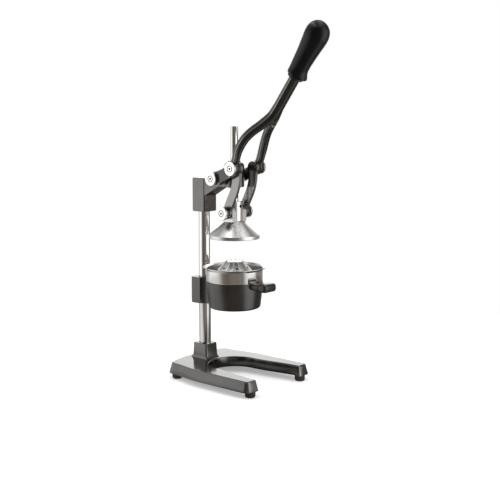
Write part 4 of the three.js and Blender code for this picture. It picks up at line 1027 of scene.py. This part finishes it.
def makeGrip():
    g = grip
    gripAngle = math.radians(g["lean"])
    up = Vector((0, -math.cos(gripAngle), math.sin(gripAngle)))
    front = Vector((0, -up.z, up.y))
    foot = crownAt + shaftWay * g["seat"] + front * g["ahead"] - up * g["sink"]
    path, _ = smoothPath([Vector(v) for v in gripShares])
    turns = [2 * math.pi * i / g["steps"] for i in range(g["steps"])]
    rings = []
    for k in range(g["steps"] + 1):
        share = path(k / g["steps"])
        centre = foot + up * g["length"] * share.x + front * g["radius"] * share.z
        depth = g["radius"] * share.y
        across = xAxis * depth * g["widthShare"]
        rings.append([at(*(centre + front * depth * math.cos(a) + across * math.sin(a))) for a in turns])
    body = loftPiece("handGrip", rings, 0)
    pick(body)
    bpy.ops.object.mode_set(mode="EDIT")
    bpy.ops.mesh.select_all(action="SELECT")
    bpy.ops.mesh.bisect(plane_co=at(*(crownAt + shaftWay * g["seat"])), plane_no=shaftWay, use_fill=True,
                        clear_inner=True)
    bpy.ops.mesh.bevel(offset=g["edge"] * mm, segments=4, profile=0.5, affect="EDGES", clamp_overlap=False)
    tidyMesh(body, g["smoothAngle"])
    low, high = g["seat"] - fits["past"], g["seat"] + g["bore"]
    body = cutAway(body, boreAlong(shaftWay, at(*crownAt), fits["axle"], low, high))
    tidyMesh(body, g["smoothAngle"])
    return dress(body, gripBlack, "lever_arm", "black_grip", "grip")


makeGrip()
print("grip made")

# curved straps between lever and cup
strap = {"inner": 20.3, "thickness": 6.2, "eye": 12.2, "width": 17.2, "rim": 0.9, "steps": 60}
# ahead and up, between the link's eye and the wrist's
strapShares = ((0.98, 0.81), (0.88, 0.615), (0.69, 0.445), (0.42, 0.275))


def makeStrap(side, hand):
    s = strap
    ahead, rise = wristAt.y - linkAt.y, linkAt.z - wristAt.z
    points = [Vector((0, linkAt.y, linkAt.z))]
    points += [Vector((0, wristAt.y - ahead * a, wristAt.z + rise * u)) for a, u in strapShares]
    points.append(Vector((0, wristAt.y, wristAt.z)))
    path, heading = smoothPath(points)
    edges = {1: [], -1: []}
    for k in range(s["steps"] + 1):
        p, t = path(k / s["steps"]), heading(k / s["steps"])
        for way, edge in edges.items():
            edge.append(Vector((p.y - way * t.z * s["width"] / 2, p.z + way * t.y * s["width"] / 2)))
    eyes = Vector((linkAt.y, linkAt.z)), Vector((wristAt.y, wristAt.z))
    outline = eyedOutline(*eyes, s["eye"], edges[1], edges[-1])
    start = s["inner"] if side > 0 else -s["inner"] - s["thickness"]
    body = platePiece("strap_" + hand + "_band", [at(start, p.x, p.y) for p in outline],
                      xAxis * s["thickness"] * mm, s["rim"], 4)
    low, high = start - fits["past"], start + s["thickness"] + fits["past"]
    body = cutAway(body, *[boreAlong(xAxis, at(0, p.y, p.z), fits["axle"], low, high)
                           for p in (linkAt, wristAt)])
    tidyMesh(body)
    return dress(body, satinLink, "link_" + hand, "satin_link", "strap_" + hand)


for hand, side in (("left", -1), ("right", 1)):
    makeStrap(side, hand)

# polished screws with their washers
screwHead = {"radius": 13.6, "thickness": 4.3, "edge": 1.0, "underEdge": 0.4, "endEdge": 0.5,
             "grooveOuter": 6.6, "grooveInner": 4.8, "groove": 0.9, "grooveEdge": 0.3, "grooveRound": 0.2,
             "hex": 2.3, "hexDepth": 3, "hexOver": 1, "blackFrom": 0.5}
shanks = {"fulcrum": 3, "link": 6, "wrist": 6}
washer = {"bore": 6.3, "radius": 12.2, "edge": 0.4}


def makeScrew(name, node, side, shank, body, spot):
    s = screwHead
    low, high = boxOf(node)
    face, end = (high.x, low.x) if side > 0 else (-low.x, -high.x)
    under = face - s["thickness"]
    grooveMiddle = (s["grooveOuter"] + s["grooveInner"]) / 2
    path = rounded([(0, end), (shank, end, s["endEdge"]), (shank, under),
                    (s["radius"], under, s["underEdge"]), (s["radius"], face, s["edge"]),
                    (s["grooveOuter"], face, s["grooveEdge"]),
                    (grooveMiddle, face - s["groove"], s["grooveRound"]),
                    (s["grooveInner"], face, s["grooveEdge"]), (0, face)])
    centre = at(0, spot.y, spot.z)
    axis = xAxis * side
    piece = turnPiece(name, centre, axis, path, 96)
    piece = cutAway(piece, boreAlong(axis, centre, s["hex"], face - s["hexDepth"], face + s["hexOver"], 6))
    tidyMesh(piece)
    polish = latheFinish(name + "Polish", looks["polished"], centre, (0, 1, 1))
    dress(piece, polish, body, "polished_screw", node)
    dressPart(piece, blackSteel, lambda p: p.dot(axis) < (under - s["blackFrom"]) * mm)
    return piece


def makeWasher(name, node, side, body, spot):
    w = washer
    low, high = boxOf(node)
    start, end = (low.x, high.x) if side > 0 else (-high.x, -low.x)
    path = rounded([(w["bore"], start), (w["radius"], start, w["edge"]), (w["radius"], end, w["edge"]),
                    (w["bore"], end), (w["bore"], start)])
    piece = turnPiece(name, at(0, spot.y, spot.z), xAxis * side, path, 96)
    return dress(piece, darkPlate, body, "plated_steel", node)


for hand, side in (("left", -1), ("right", 1)):
    link = "link_" + hand
    pivots = (("fulcrum", "stand", fulcrumAt), ("link", link, linkAt), ("wrist", link, wristAt))
    for pivot, body, spot in pivots:
        makeScrew(pivot + "Screw_" + hand, pivot + "_screw_" + hand, side, shanks[pivot], body, spot)
    for pivot, body, spot in pivots:
        makeWasher(pivot + "Washer_" + hand, pivot + "_washer_" + hand, side, body, spot)
print("linkage made")

# press cup: a cone with a rim band below, and a hub with two lugs above
cupBox = boxOf("press_cup")
cup = {"rim": 49.8, "band": 6.6, "disc": 19.4, "discDrop": 1.2, "hub": 15.8, "hubHeight": 38.8, "wall": 3.6,
       "roof": 15.5, "lug": 12.8, "lugEnd": 20.0, "rodBore": 8.3, "pinBore": 4.3, "pinReach": 24,
       "screwReach": 20, "roofRound": 3, "insideRound": 2, "lipIn": 0.6, "lipOut": 1, "bandRound": 1.4,
       "discRound": 1.2, "hubFoot": 1.5, "hubEdge": 1.6, "lugRim": 1.0}


def makeCup():
    c = cup
    foot, top = cupBox[0].z, cupBox[1].z
    rimTop, disc, inside = foot + c["band"], top - c["hubHeight"], c["rim"] - c["wall"]
    path = rounded([(0, disc - c["wall"]), (c["roof"], disc - c["wall"], c["roofRound"]),
                    (inside, rimTop - c["wall"] / 2, c["insideRound"]), (inside, foot, c["lipIn"]),
                    (c["rim"], foot, c["lipOut"]), (c["rim"], rimTop, c["bandRound"]),
                    (c["disc"], disc - c["discDrop"], c["discRound"]), (c["hub"], disc, c["hubFoot"]),
                    (c["hub"], top, c["hubEdge"]), (0, top)], False, 6)
    axis = at(0, 0, 0)
    body = turnPiece("cup", axis, zAxis, path, 160)
    r = c["lug"]
    half = [math.pi * k / 40 for k in range(41)]
    arch = [(-r, disc - c["discDrop"]), (r, disc - c["discDrop"])]
    arch += [(r * math.cos(a), wristAt.z + r * math.sin(a)) for a in half]
    lugs = platePiece("lug", [at(-c["lugEnd"], y, z) for y, z in arch], xAxis * 2 * c["lugEnd"] * mm,
                      c["lugRim"], 4)
    rodFoot = boxOf("plunger_rod")[0].z - fits["slack"]
    body = cutAway(fuse(body, lugs), boreAlong(zAxis, axis, c["rodBore"], rodFoot, top + fits["past"], 64),
                   boreAlong(xAxis, at(0, 0, wristAt.z), c["pinBore"], -c["pinReach"], c["pinReach"], 32),
                   setScrewBore("cup_set_screw", 0, -c["screwReach"], 0))
    tidyMesh(body)
    return dress(body, satinAluminium, "plunger", "satin_aluminium", "press_cup")


makeCup()

# pot with its clamp
potBox = boxOf("pot")
pot = {"top": 55.8, "foot": 50.2, "round": 5, "wall": 3.4, "floor": 5, "fall": 4, "floorRound": 5,
       "outlet": 11, "outletEdge": 0.6, "outletFlat": 3, "flatRound": 2, "lip": 0.8, "clampHalf": 19,
       "clampBack": 19.8, "clampAhead": 4, "clampRim": 1.4, "corner": 2.5, "webHalf": 10, "webFrom": 60,
       "webLow": 8, "flare": 2.4, "lap": 1.6, "over": 3, "seatDrop": 4.6, "screwFrom": 60, "screwReach": 24}


def potRadius(z):
    return mix(pot["foot"], pot["top"], (z - potBox[0].z) / (potBox[1].z - potBox[0].z))


# the clamp and its web, cut back so that they end within the bowl's wall
def makeClamp(foot, top):
    p = pot
    y, back, w, n = columnY - p["clampAhead"], columnY + p["clampBack"], p["clampHalf"], p["webHalf"]
    start = potRadius(foot + p["webLow"]) - p["wall"] / 2
    half = [Vector((n, start)), Vector((n, p["webFrom"]))]
    half += bezier([(n, p["webFrom"]), (n, y - p["flare"]), (w, y)], 8, False)
    half += [Vector(q) for q in rounded([(w, y), (w, back, p["corner"]), (0, back)])[1:-1]]
    outline = half + [Vector((-q.x, q.y)) for q in reversed(half)]
    block = platePiece("clamp", [at(q.x, q.y, foot) for q in outline], zAxis * (top - foot) * mm,
                       p["clampRim"], 4)
    low, high, below, above = p["foot"] - p["lap"], p["top"] - p["lap"], foot - p["over"], top + p["over"]
    path = [(0, below), (low, below), (low, foot), (high, top), (high, above), (0, above)]
    return cutAway(block, turnPiece("inside", at(0, 0, 0), zAxis, path, 96))


def makePot():
    p = pot
    foot, top = potBox[0].z, potBox[1].z
    floorZ, inside = foot + p["floor"], p["top"] - p["wall"]
    path = rounded([(p["outlet"], foot, p["outletEdge"]), (p["foot"], foot, p["round"]),
                    (p["top"], top, p["lip"]), (inside, top, p["lip"]),
                    (p["foot"] - p["wall"], floorZ + p["fall"], p["floorRound"]),
                    (p["outlet"] + p["outletFlat"], floorZ, p["flatRound"]),
                    (p["outlet"], floorZ, p["outletEdge"]), (p["outlet"], foot)], False, 7)
    body = fuse(turnPiece("potBowl", at(0, 0, 0), zAxis, path, 160), makeClamp(foot, top))
    handle = at(0, 0, middleOf("handle_screw").z)
    seat = potRadius(middleOf("handle_screw").z - p["seatDrop"]) - p["wall"] / 2
    holes = [boreAlong(zAxis, at(0, columnY, 0), columnRadius + fits["slack"], foot - fits["past"],
                       top + fits["past"], fits["barSides"]),
             setScrewBore("handle_screw", 0, -p["screwFrom"], 0),
             boreAlong(yAxis, handle, fits["bolt"], -seat, 0, fits["screwSides"])]
    holes += [setScrewBore(n, columnY, 0, p["screwReach"])
              for n in ("pot_clamp_screw_lower", "pot_clamp_screw_upper")]
    body = cutAway(body, *holes)
    tidyMesh(body)
    return dress(body, darkCasting, "stand", "dark_casting", "pot")


makePot()
print("cup and pot made")

# pull on the pot's front; it clears the strainer's band
strainer = {"rim": 61.7, "lip": 4.4, "band": 56.4, "height": 28, "sheet": 1.6, "seat": 50.6, "seatDepth": 4,
            "hole": 1.7, "drillOver": 1, "seatIn": 0.4, "seatEdge": 0.5, "footRound": 1.8, "lipRound": 2.5,
            "lipUnder": 0.5, "underRound": 1.2, "lipEdge": 0.8, "lipIn": 0.6, "lipFall": 0.9,
            "insideRound": 3, "insideFoot": 1.6, "paintOut": 0.4, "paintUnder": 0.2}
pull = {"reach": 92.5, "width": 35, "depth": 22.5, "height": 16, "round": 5.5, "bevel": 5.2, "raised": 0.8,
        "border": 0.5, "rootWidth": 32, "rootHeight": 12.4, "rootRound": 4, "rootEnd": 40, "clear": 0.9,
        "pocketRise": 20, "ledgeRise": 30, "screwFrom": 72, "screwTo": 20}


def makePull():
    h = pull
    screwZ = middleOf("handle_screw").z
    z, middle, w, e = screwZ + h["raised"], -h["reach"] + h["depth"] / 2, h["width"] / 2, h["bevel"]
    quarter = [math.pi / 12 * k for k in range(6, -1, -1)]
    ends = [(-w + e * (1 - math.sin(a)), e * (1 - math.cos(a))) for a in quarter]
    ends += [(-x, inward) for x, inward in reversed(ends)]
    rings = []
    for x, inward in ends:
        ring = roundedBox(h["depth"] / 2 - inward, h["height"] / 2 - inward, h["round"], 6, (middle, z))
        rings.append([at(x, y, up) for y, up in ring])
    body = loftPiece("pull", rings, h["border"])
    ring = roundedBox(h["rootWidth"] / 2, h["rootHeight"] / 2, h["rootRound"], 6, (0, z))
    root = loftPiece("root", [[at(x, y, up) for x, up in ring] for y in (middle, -h["rootEnd"])], 0)
    foot, top, slack, axis = potBox[0].z, potBox[1].z, fits["slack"], at(0, 0, 0)
    low, high, above = pot["foot"] + slack, pot["top"] + slack, top + h["pocketRise"]
    pocketPath = [(0, foot), (low, foot), (high, top), (high, above), (0, above)]
    clear, above = strainer["band"] + h["clear"], top + h["ledgeRise"]
    ledgePath = [(0, top - slack), (clear, top - slack), (clear, above), (0, above)]
    body = cutAway(fuse(body, root), turnPiece("pocket", axis, zAxis, pocketPath, 160),
                   turnPiece("ledge", axis, zAxis, ledgePath, 96),
                   setScrewBore("handle_screw", 0, -h["screwFrom"], -h["screwTo"]))
    tidyMesh(body)
    return dress(body, handleBlack, "stand", "dark_casting", "pot_handle")


makePull()

# strainer: radius of each circle of holes, their number, and the part of a step it is turned by
strainerBox = boxOf("strainer")
holeCircles = ((20.5, 14, 0.5), (26, 18, 0), (38.5, 28, 0.5), (44, 34, 0), (49, 38, 0))


def makeStrainer():
    s = strainer
    top = strainerBox[1].z
    seat = top - s["height"]
    lipFoot, inner, t = top - s["lip"], s["band"] - s["sheet"], s["sheet"]
    seatIn, seatFoot, edge = s["seat"] - t, seat - s["seatDepth"], s["seatEdge"]
    path = rounded([(0, seat), (seatIn, seat, s["seatIn"]), (seatIn, seatFoot, edge),
                    (s["seat"], seatFoot, edge), (s["seat"], seat, edge), (s["band"], seat, s["footRound"]),
                    (s["band"], lipFoot, s["lipRound"]),
                    (s["rim"] - s["lipUnder"], top - t * 1.25, s["underRound"]),
                    (s["rim"], top - t / 2, s["lipEdge"]), (s["rim"] - s["lipIn"], top, s["lipEdge"]),
                    (inner, lipFoot + s["lipFall"], s["insideRound"]), (inner, seat + t, s["insideFoot"]),
                    (0, seat + t)], False, 6)
    body = turnPiece("strainerPan", at(0, 0, 0), zAxis, path, 180)
    low, high = seat - s["drillOver"], seat + t + s["drillOver"]
    drills = []
    for radius, count, turned in holeCircles:
        for k in range(count):
            a = 2 * math.pi * (k + turned) / count
            spot = at(radius * math.cos(a), radius * math.sin(a), 0)
            drills.append(boreAlong(zAxis, spot, s["hole"], low, high, 16))
    drills.append(boreAlong(zAxis, at(0, 0, 0), fits["screw"], low, high, fits["screwSides"]))
    body = cutAway(body, joinPieces(drills))
    tidyMesh(body)
    dress(body, stainless, "strainer_set", "stainless", "strainer")

    def isInside(point):
        p = local(point / mm)
        return math.hypot(p.x, p.y) < inner + s["paintOut"] and p.z > seat + t - s["paintUnder"]

    dressPart(body, stainlessInside, isInside)
    return body


makeStrainer()

# reamer: a ribbed cone, with a drain half way between ribs in every second gap
reamerBox = boxOf("reamer")
reamer = {"turn": 37, "base": 34, "top": 16, "cone": 18.9, "wall": 2.6, "ribs": 12, "ribFoot": 4.6,
          "ribTop": 3.2, "rise": 1.3, "footRise": 0.7, "footBlend": 0.15, "ribIn": 1.2, "ribOver": 1.1,
          "ribPower": 0.8, "tip": 0.5, "tipShare": 0.6, "steps": 12, "drains": 6, "drain": 2.3,
          "drainReach": 27, "drainTurn": 0.25, "drainOut": 4, "belowRim": 8.6, "boss": 6.4,
          "screwDepth": 14.3, "roofRound": 1.5, "insideRound": 2, "edge": 0.5, "shoulder": 1.5,
          "crownRound": 5, "smoothAngle": 40, "rawIn": 0.6, "rawUnder": 0.7}


def makeRib(turn, low, top, out):
    r, w, steps = reamer, reamer["wall"], reamer["steps"]
    rings = []
    for i in range(steps + 1):
        u = i / steps
        radius = mix(r["base"] - r["ribIn"], r["top"] + r["ribOver"], u)
        z = mix(low + r["ribIn"], top - r["ribOver"], u)
        half = mix(r["ribFoot"], r["ribTop"], u) / 2
        rise = r["rise"] * mix(r["footRise"], 1, blendShare(0, r["footBlend"], u))
        ring = []
        for q in range(steps + 1):
            a = math.pi * q / steps
            lift = -w / 2 + (rise + w / 2) * math.sin(a) ** r["ribPower"]
            ring.append(Vector((radius + out.x * lift, half * math.cos(a), z + out.y * lift)))
        rings.append(ring)
    tip, crown = r["tip"], reamerBox[1].z
    rings.append([Vector((min(p.x, r["top"]) - tip, p.y * r["tipShare"], crown - tip * abs(p.y)))
                  for p in rings[-1]])
    return loftPiece("rib", [[at(*(turn @ p)) for p in ring] for ring in rings], 0)


def makeReamer():
    r = reamer
    foot, low, w = reamerBox[0].z, strainerBox[1].z - r["belowRim"], r["wall"]
    top, first, axis, inside = low + r["cone"], math.radians(r["turn"]), at(0, 0, 0), r["base"] - w

    def skinAt(reach):
        return low + r["cone"] * (r["base"] - reach) / (r["base"] - r["top"])

    path = rounded([(0, top - w), (r["top"] - w / 2, top - w, r["roofRound"]),
                    (inside, low - w / 2, r["insideRound"]), (inside, foot, r["edge"]),
                    (r["base"], foot, r["edge"]), (r["base"], low, r["shoulder"]),
                    (r["top"], top, r["crownRound"]), (0, top)], False, 6)
    body = turnPiece("reamerCone", axis, zAxis, path, 144)
    bossPath = [(0, foot), (r["boss"], foot), (r["boss"], top - w / 2), (0, top - w / 2)]
    body = fuse(body, turnPiece("boss", axis, zAxis, bossPath, 48))
    slope = Vector((r["base"] - r["top"], r["cone"])).normalized()
    out = Vector((slope.y, slope.x))
    turns = [Matrix.Rotation(2 * math.pi * k / r["ribs"] + first, 3, "Z") for k in range(r["ribs"])]
    body = fuse(body, *[makeRib(turn, low, top, out) for turn in turns])
    reach = r["drainReach"]
    drains = []
    for k in range(r["drains"]):
        a = 2 * math.pi * (k + r["drainTurn"]) / r["drains"] + first
        way = Vector((out.x * math.cos(a), out.x * math.sin(a), out.y))
        mouth = at(reach * math.cos(a), reach * math.sin(a), skinAt(reach))
        drains.append(boreAlong(way, mouth, r["drain"], -w - fits["past"], r["drainOut"], 24))
    screw = boreAlong(zAxis, axis, fits["screw"], foot - fits["past"], foot + r["screwDepth"],
                      fits["screwSides"])
    body = cutAway(body, joinPieces(drains), screw)
    tidyMesh(body, r["smoothAngle"])
    dress(body, satinAluminium, "strainer_set", "satin_aluminium", "reamer")

    def isInside(point):
        p = local(point / mm)
        out = math.hypot(p.x, p.y)
        return out < r["base"] - r["rawIn"] and p.z < min(skinAt(out), top) - r["rawUnder"]

    dressPart(body, rawCasting, isInside)
    return body


makeReamer()
print("strainer and reamer made")

# small parts that keep the frame's own shape
smallParts = {"foot_screw": platedSteel, "column_bolt_washer": platedSteel, "column_bolt": blackSteel,
              "set_screw": blackSteel, "clamp_screw": blackSteel, "fulcrum_axle": platedSteel,
              "wrist_pin": platedSteel, "handle_screw": platedSteel, "reamer_screw": platedSteel}
for name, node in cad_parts.items():
    found = next((material for part, material in smallParts.items() if part in name), None)
    if found:
        node.data.materials.clear()
        node.data.materials.append(found)

# studio: three soft lamps light the matt surfaces, the cards of the room show in the polished ones
softBox = {"left": (-94, 2.1), "right": (68, 2.1), "distance": 1.5, "height": 0.75, "width": 1.3, "tall": 1.7}
overhead = {"place": (0.1, 0.3, 2.0), "size": 1.6, "radiance": 2.0}
lampAim = (0, 0, 0.3)
room = {"radius": 0.92, "height": 1.5, "strength": 2.5, "boxTop": 0.92, "above": 0.45, "near": 0.13,
        "soft": 0.16, "dim": 0.5, "wallLift": 0.003, "floorLift": 0.002, "sides": 128}
ceiling = {"shade": 0.95, "tone": (1, 0.97, 0.94), "left": 3.2, "right": 2.0, "out": 0.34, "width": 0.3,
           "length": 1.2, "drop": 0.02}
ground = {"radius": 0.88, "white": (0.86, 0.86, 0.86, 1), "rough": 0.95, "specular": 0.1, "glow": 0.32,
          "ambient": 0.45, "sides": 96}
warm = {"green": 0.13, "blue": 0.24}
# brightness round the room: bearing from the camera in degrees, strength of wall and of floor, warmth
roomTones = ((-180, 2.1, 0.15, 0), (-166, 1.9, 0.15, 0), (-156, 0.6, 0.15, 0), (-135, 0.55, 0.2, 0),
             (-124, 0.75, 0.5, 0), (-110, 1.3, 0.9, 0), (-78, 1.4, 0.9, 0), (-67, 1.0, 0.8, 0),
             (-57, 0.4, 0.5, 0.4), (-47, 0.15, 0.25, 1), (-32, 0.11, 0.18, 1), (-10, 0.18, 0.25, 1.1),
             (12, 0.19, 0.25, 1), (23, 0.32, 0.3, 1), (30, 0.3, 0.22, 0.6), (37, 0.8, 0.4, 0),
             (46, 1.9, 0.9, 0), (60, 2.3, 1.2, 0), (82, 2.0, 1.1, 0), (90, 1.3, 0.8, 0), (96, 0.6, 0.4, 0.4),
             (101, 0.35, 0.2, 0.8), (138, 0.35, 0.15, 0.6), (150, 0.6, 0.15, 0), (163, 1.9, 0.15, 0),
             (180, 2.1, 0.15, 0))


def cameraBearing(angle):
    turn = math.radians(cameraView["turn"])
    ahead, right = Vector((-math.sin(turn), math.cos(turn), 0)), Vector((math.cos(turn), math.sin(turn), 0))
    a = math.radians(angle)
    return right * math.sin(a) - ahead * math.cos(a)


def addLamp(name, place, width, height, radiance):
    data = bpy.data.lights.new(name, "AREA")
    data.shape = "RECTANGLE"
    data.size, data.size_y = width, height
    data.energy = radiance * math.pi * width * height
    lamp = bpy.data.objects.new(name, data)
    lamp.location = place
    lamp.rotation_euler = (Vector(lampAim) - Vector(place)).to_track_quat("-Z", "Y").to_euler()
    lamp.visible_camera = lamp.visible_glossy = False
    bpy.context.scene.collection.objects.link(lamp)


for name in ("left", "right"):
    bearing, radiance = softBox[name]
    place = cameraBearing(bearing) * softBox["distance"] + Vector((0, 0, softBox["height"]))
    addLamp(name + "SoftBox", place, softBox["width"], softBox["tall"], radiance)
addLamp("overhead", overhead["place"], overhead["size"], overhead["size"], overhead["radiance"])


# a card that shows in polished surfaces only, in one plain colour unless its colour is linked later
def roomCard(card, name, strength, plain=None):
    card.name = name
    material = bpy.data.materials.new(name)
    material.use_nodes = True
    tree = material.node_tree
    tree.nodes.remove(tree.nodes["Principled BSDF"])
    glow = tree.nodes.new("ShaderNodeEmission")
    glow.inputs["Strength"].default_value = strength
    if plain:
        glow.inputs["Color"].default_value = (*plain, 1)
    tree.links.new(glow.outputs[0], tree.nodes["Material Output"].inputs["Surface"])
    card.data.materials.append(material)
    card.visible_camera = card.visible_diffuse = card.visible_shadow = card.visible_transmission = False
    return tree, glow


# a warm tone has less green, and less blue still
def toneColour(strength, warmth):
    return (strength, strength * (1 - warm["green"] * warmth), strength * (1 - warm["blue"] * warmth), 1)


# the card glows by its bearing from the camera; column 1 of the tones is for the wall, 2 for the floor
def glowByBearing(card, name, column):
    tree, glow = roomCard(card, name, room["strength"])
    place = tree.nodes.new("ShaderNodeTexCoord").outputs["Object"]
    parts = tree.nodes.new("ShaderNodeSeparateXYZ")
    tree.links.new(place, parts.inputs[0])
    angle = mathNode(tree, "ARCTAN2", parts.outputs["Y"], parts.outputs["X"])
    start = (270 - cameraView["turn"]) / 360
    turned = mathNode(tree, "ADD", mathNode(tree, "DIVIDE", angle, 2 * math.pi), start)
    ramp = tree.nodes.new("ShaderNodeValToRGB")
    tree.links.new(mathNode(tree, "FRACT", turned), ramp.inputs["Fac"])
    stops = ramp.color_ramp.elements
    while len(stops) < len(roomTones):
        stops.new(0.5)
    for stop, tone in zip(stops, roomTones):
        stop.position = (tone[0] + 180) / 360
        stop.color = toneColour(tone[column] / room["strength"], tone[3])
    if column == 1:
        height = parts.outputs["Z"]
        share = spread(tree, height, room["boxTop"], room["boxTop"] + room["soft"], 1, room["above"])
    else:
        # the floor card goes dimmer near the middle: a painted shadow under the press, seen in reflections of
        # the floor
        reach = vectorNode(tree, "LENGTH", place).outputs["Value"]
        share = spread(tree, reach, room["near"], room["near"] + room["soft"], room["dim"], 1)
    fade = vectorNode(tree, "SCALE", ramp.outputs["Color"])
    tree.links.new(share, fade.inputs["Scale"])
    tree.links.new(fade.outputs[0], glow.inputs["Color"])


def addDisc(radius, z, sides):
    clearSelection()
    bpy.ops.mesh.primitive_circle_add(vertices=sides, radius=radius, fill_type="NGON", location=(0, 0, z))
    return bpy.context.object


clearSelection()
wallMiddle = room["height"] / 2 + room["wallLift"]
bpy.ops.mesh.primitive_cylinder_add(vertices=room["sides"], radius=room["radius"], depth=room["height"],
                                    end_fill_type="NOTHING", location=(0, 0, wallMiddle))
wall = bpy.context.object
bpy.ops.object.transform_apply(location=True)
glowByBearing(wall, "roomWall", 1)
glowByBearing(addDisc(room["radius"], room["floorLift"], room["sides"]), "roomFloor", 2)
roomCard(addDisc(room["radius"], room["height"], ground["sides"]), "roomCeiling", ceiling["shade"],
         ceiling["tone"])
for name, side in (("left", -1), ("right", 1)):
    clearSelection()
    place = cameraBearing(90) * side * ceiling["out"] + Vector((0, 0, room["height"] - ceiling["drop"]))
    bpy.ops.mesh.primitive_plane_add(size=1, location=place)
    strip = bpy.context.object
    strip.scale = (ceiling["width"], ceiling["length"], 1)
    strip.rotation_euler = (0, 0, math.radians(cameraView["turn"]))
    roomCard(strip, name + "Strip", ceiling[name], (1, 1, 1))


# 1 for what the camera sees, straight or by way of metal or glass; 0 for what lights the part
def seenRays(tree):
    rays = tree.nodes.new("ShaderNodeLightPath").outputs
    straight = mathNode(tree, "MAXIMUM", rays["Is Camera Ray"], rays["Is Glossy Ray"])
    return mathNode(tree, "MAXIMUM", straight, rays["Is Transmission Ray"])


floor = addDisc(ground["radius"], 0, ground["sides"])
floor.name = "studioFloor"
floorPaint = bpy.data.materials.new("floorPaper")
floorPaint.use_nodes = True
tree = floorPaint.node_tree
paper = tree.nodes["Principled BSDF"]
paper.inputs["Base Color"].default_value = ground["white"]
paper.inputs["Roughness"].default_value = ground["rough"]
paper.inputs["Specular IOR Level"].default_value = ground["specular"]
paper.inputs["Emission Color"].default_value = (1, 1, 1, 1)
tree.links.new(spread(tree, seenRays(tree), 0, 1, 0, ground["glow"]), paper.inputs["Emission Strength"])
floor.data.materials.append(floorPaint)

world = bpy.data.worlds.new("studioRoom")
bpy.context.scene.world = world
world.use_nodes = True
tree = world.node_tree
backdrop = tree.nodes["Background"]
backdrop.inputs["Color"].default_value = (1, 1, 1, 1)
tree.links.new(spread(tree, seenRays(tree), 0, 1, ground["ambient"], 1), backdrop.inputs["Strength"])
print("studio lit")

clearSelection()
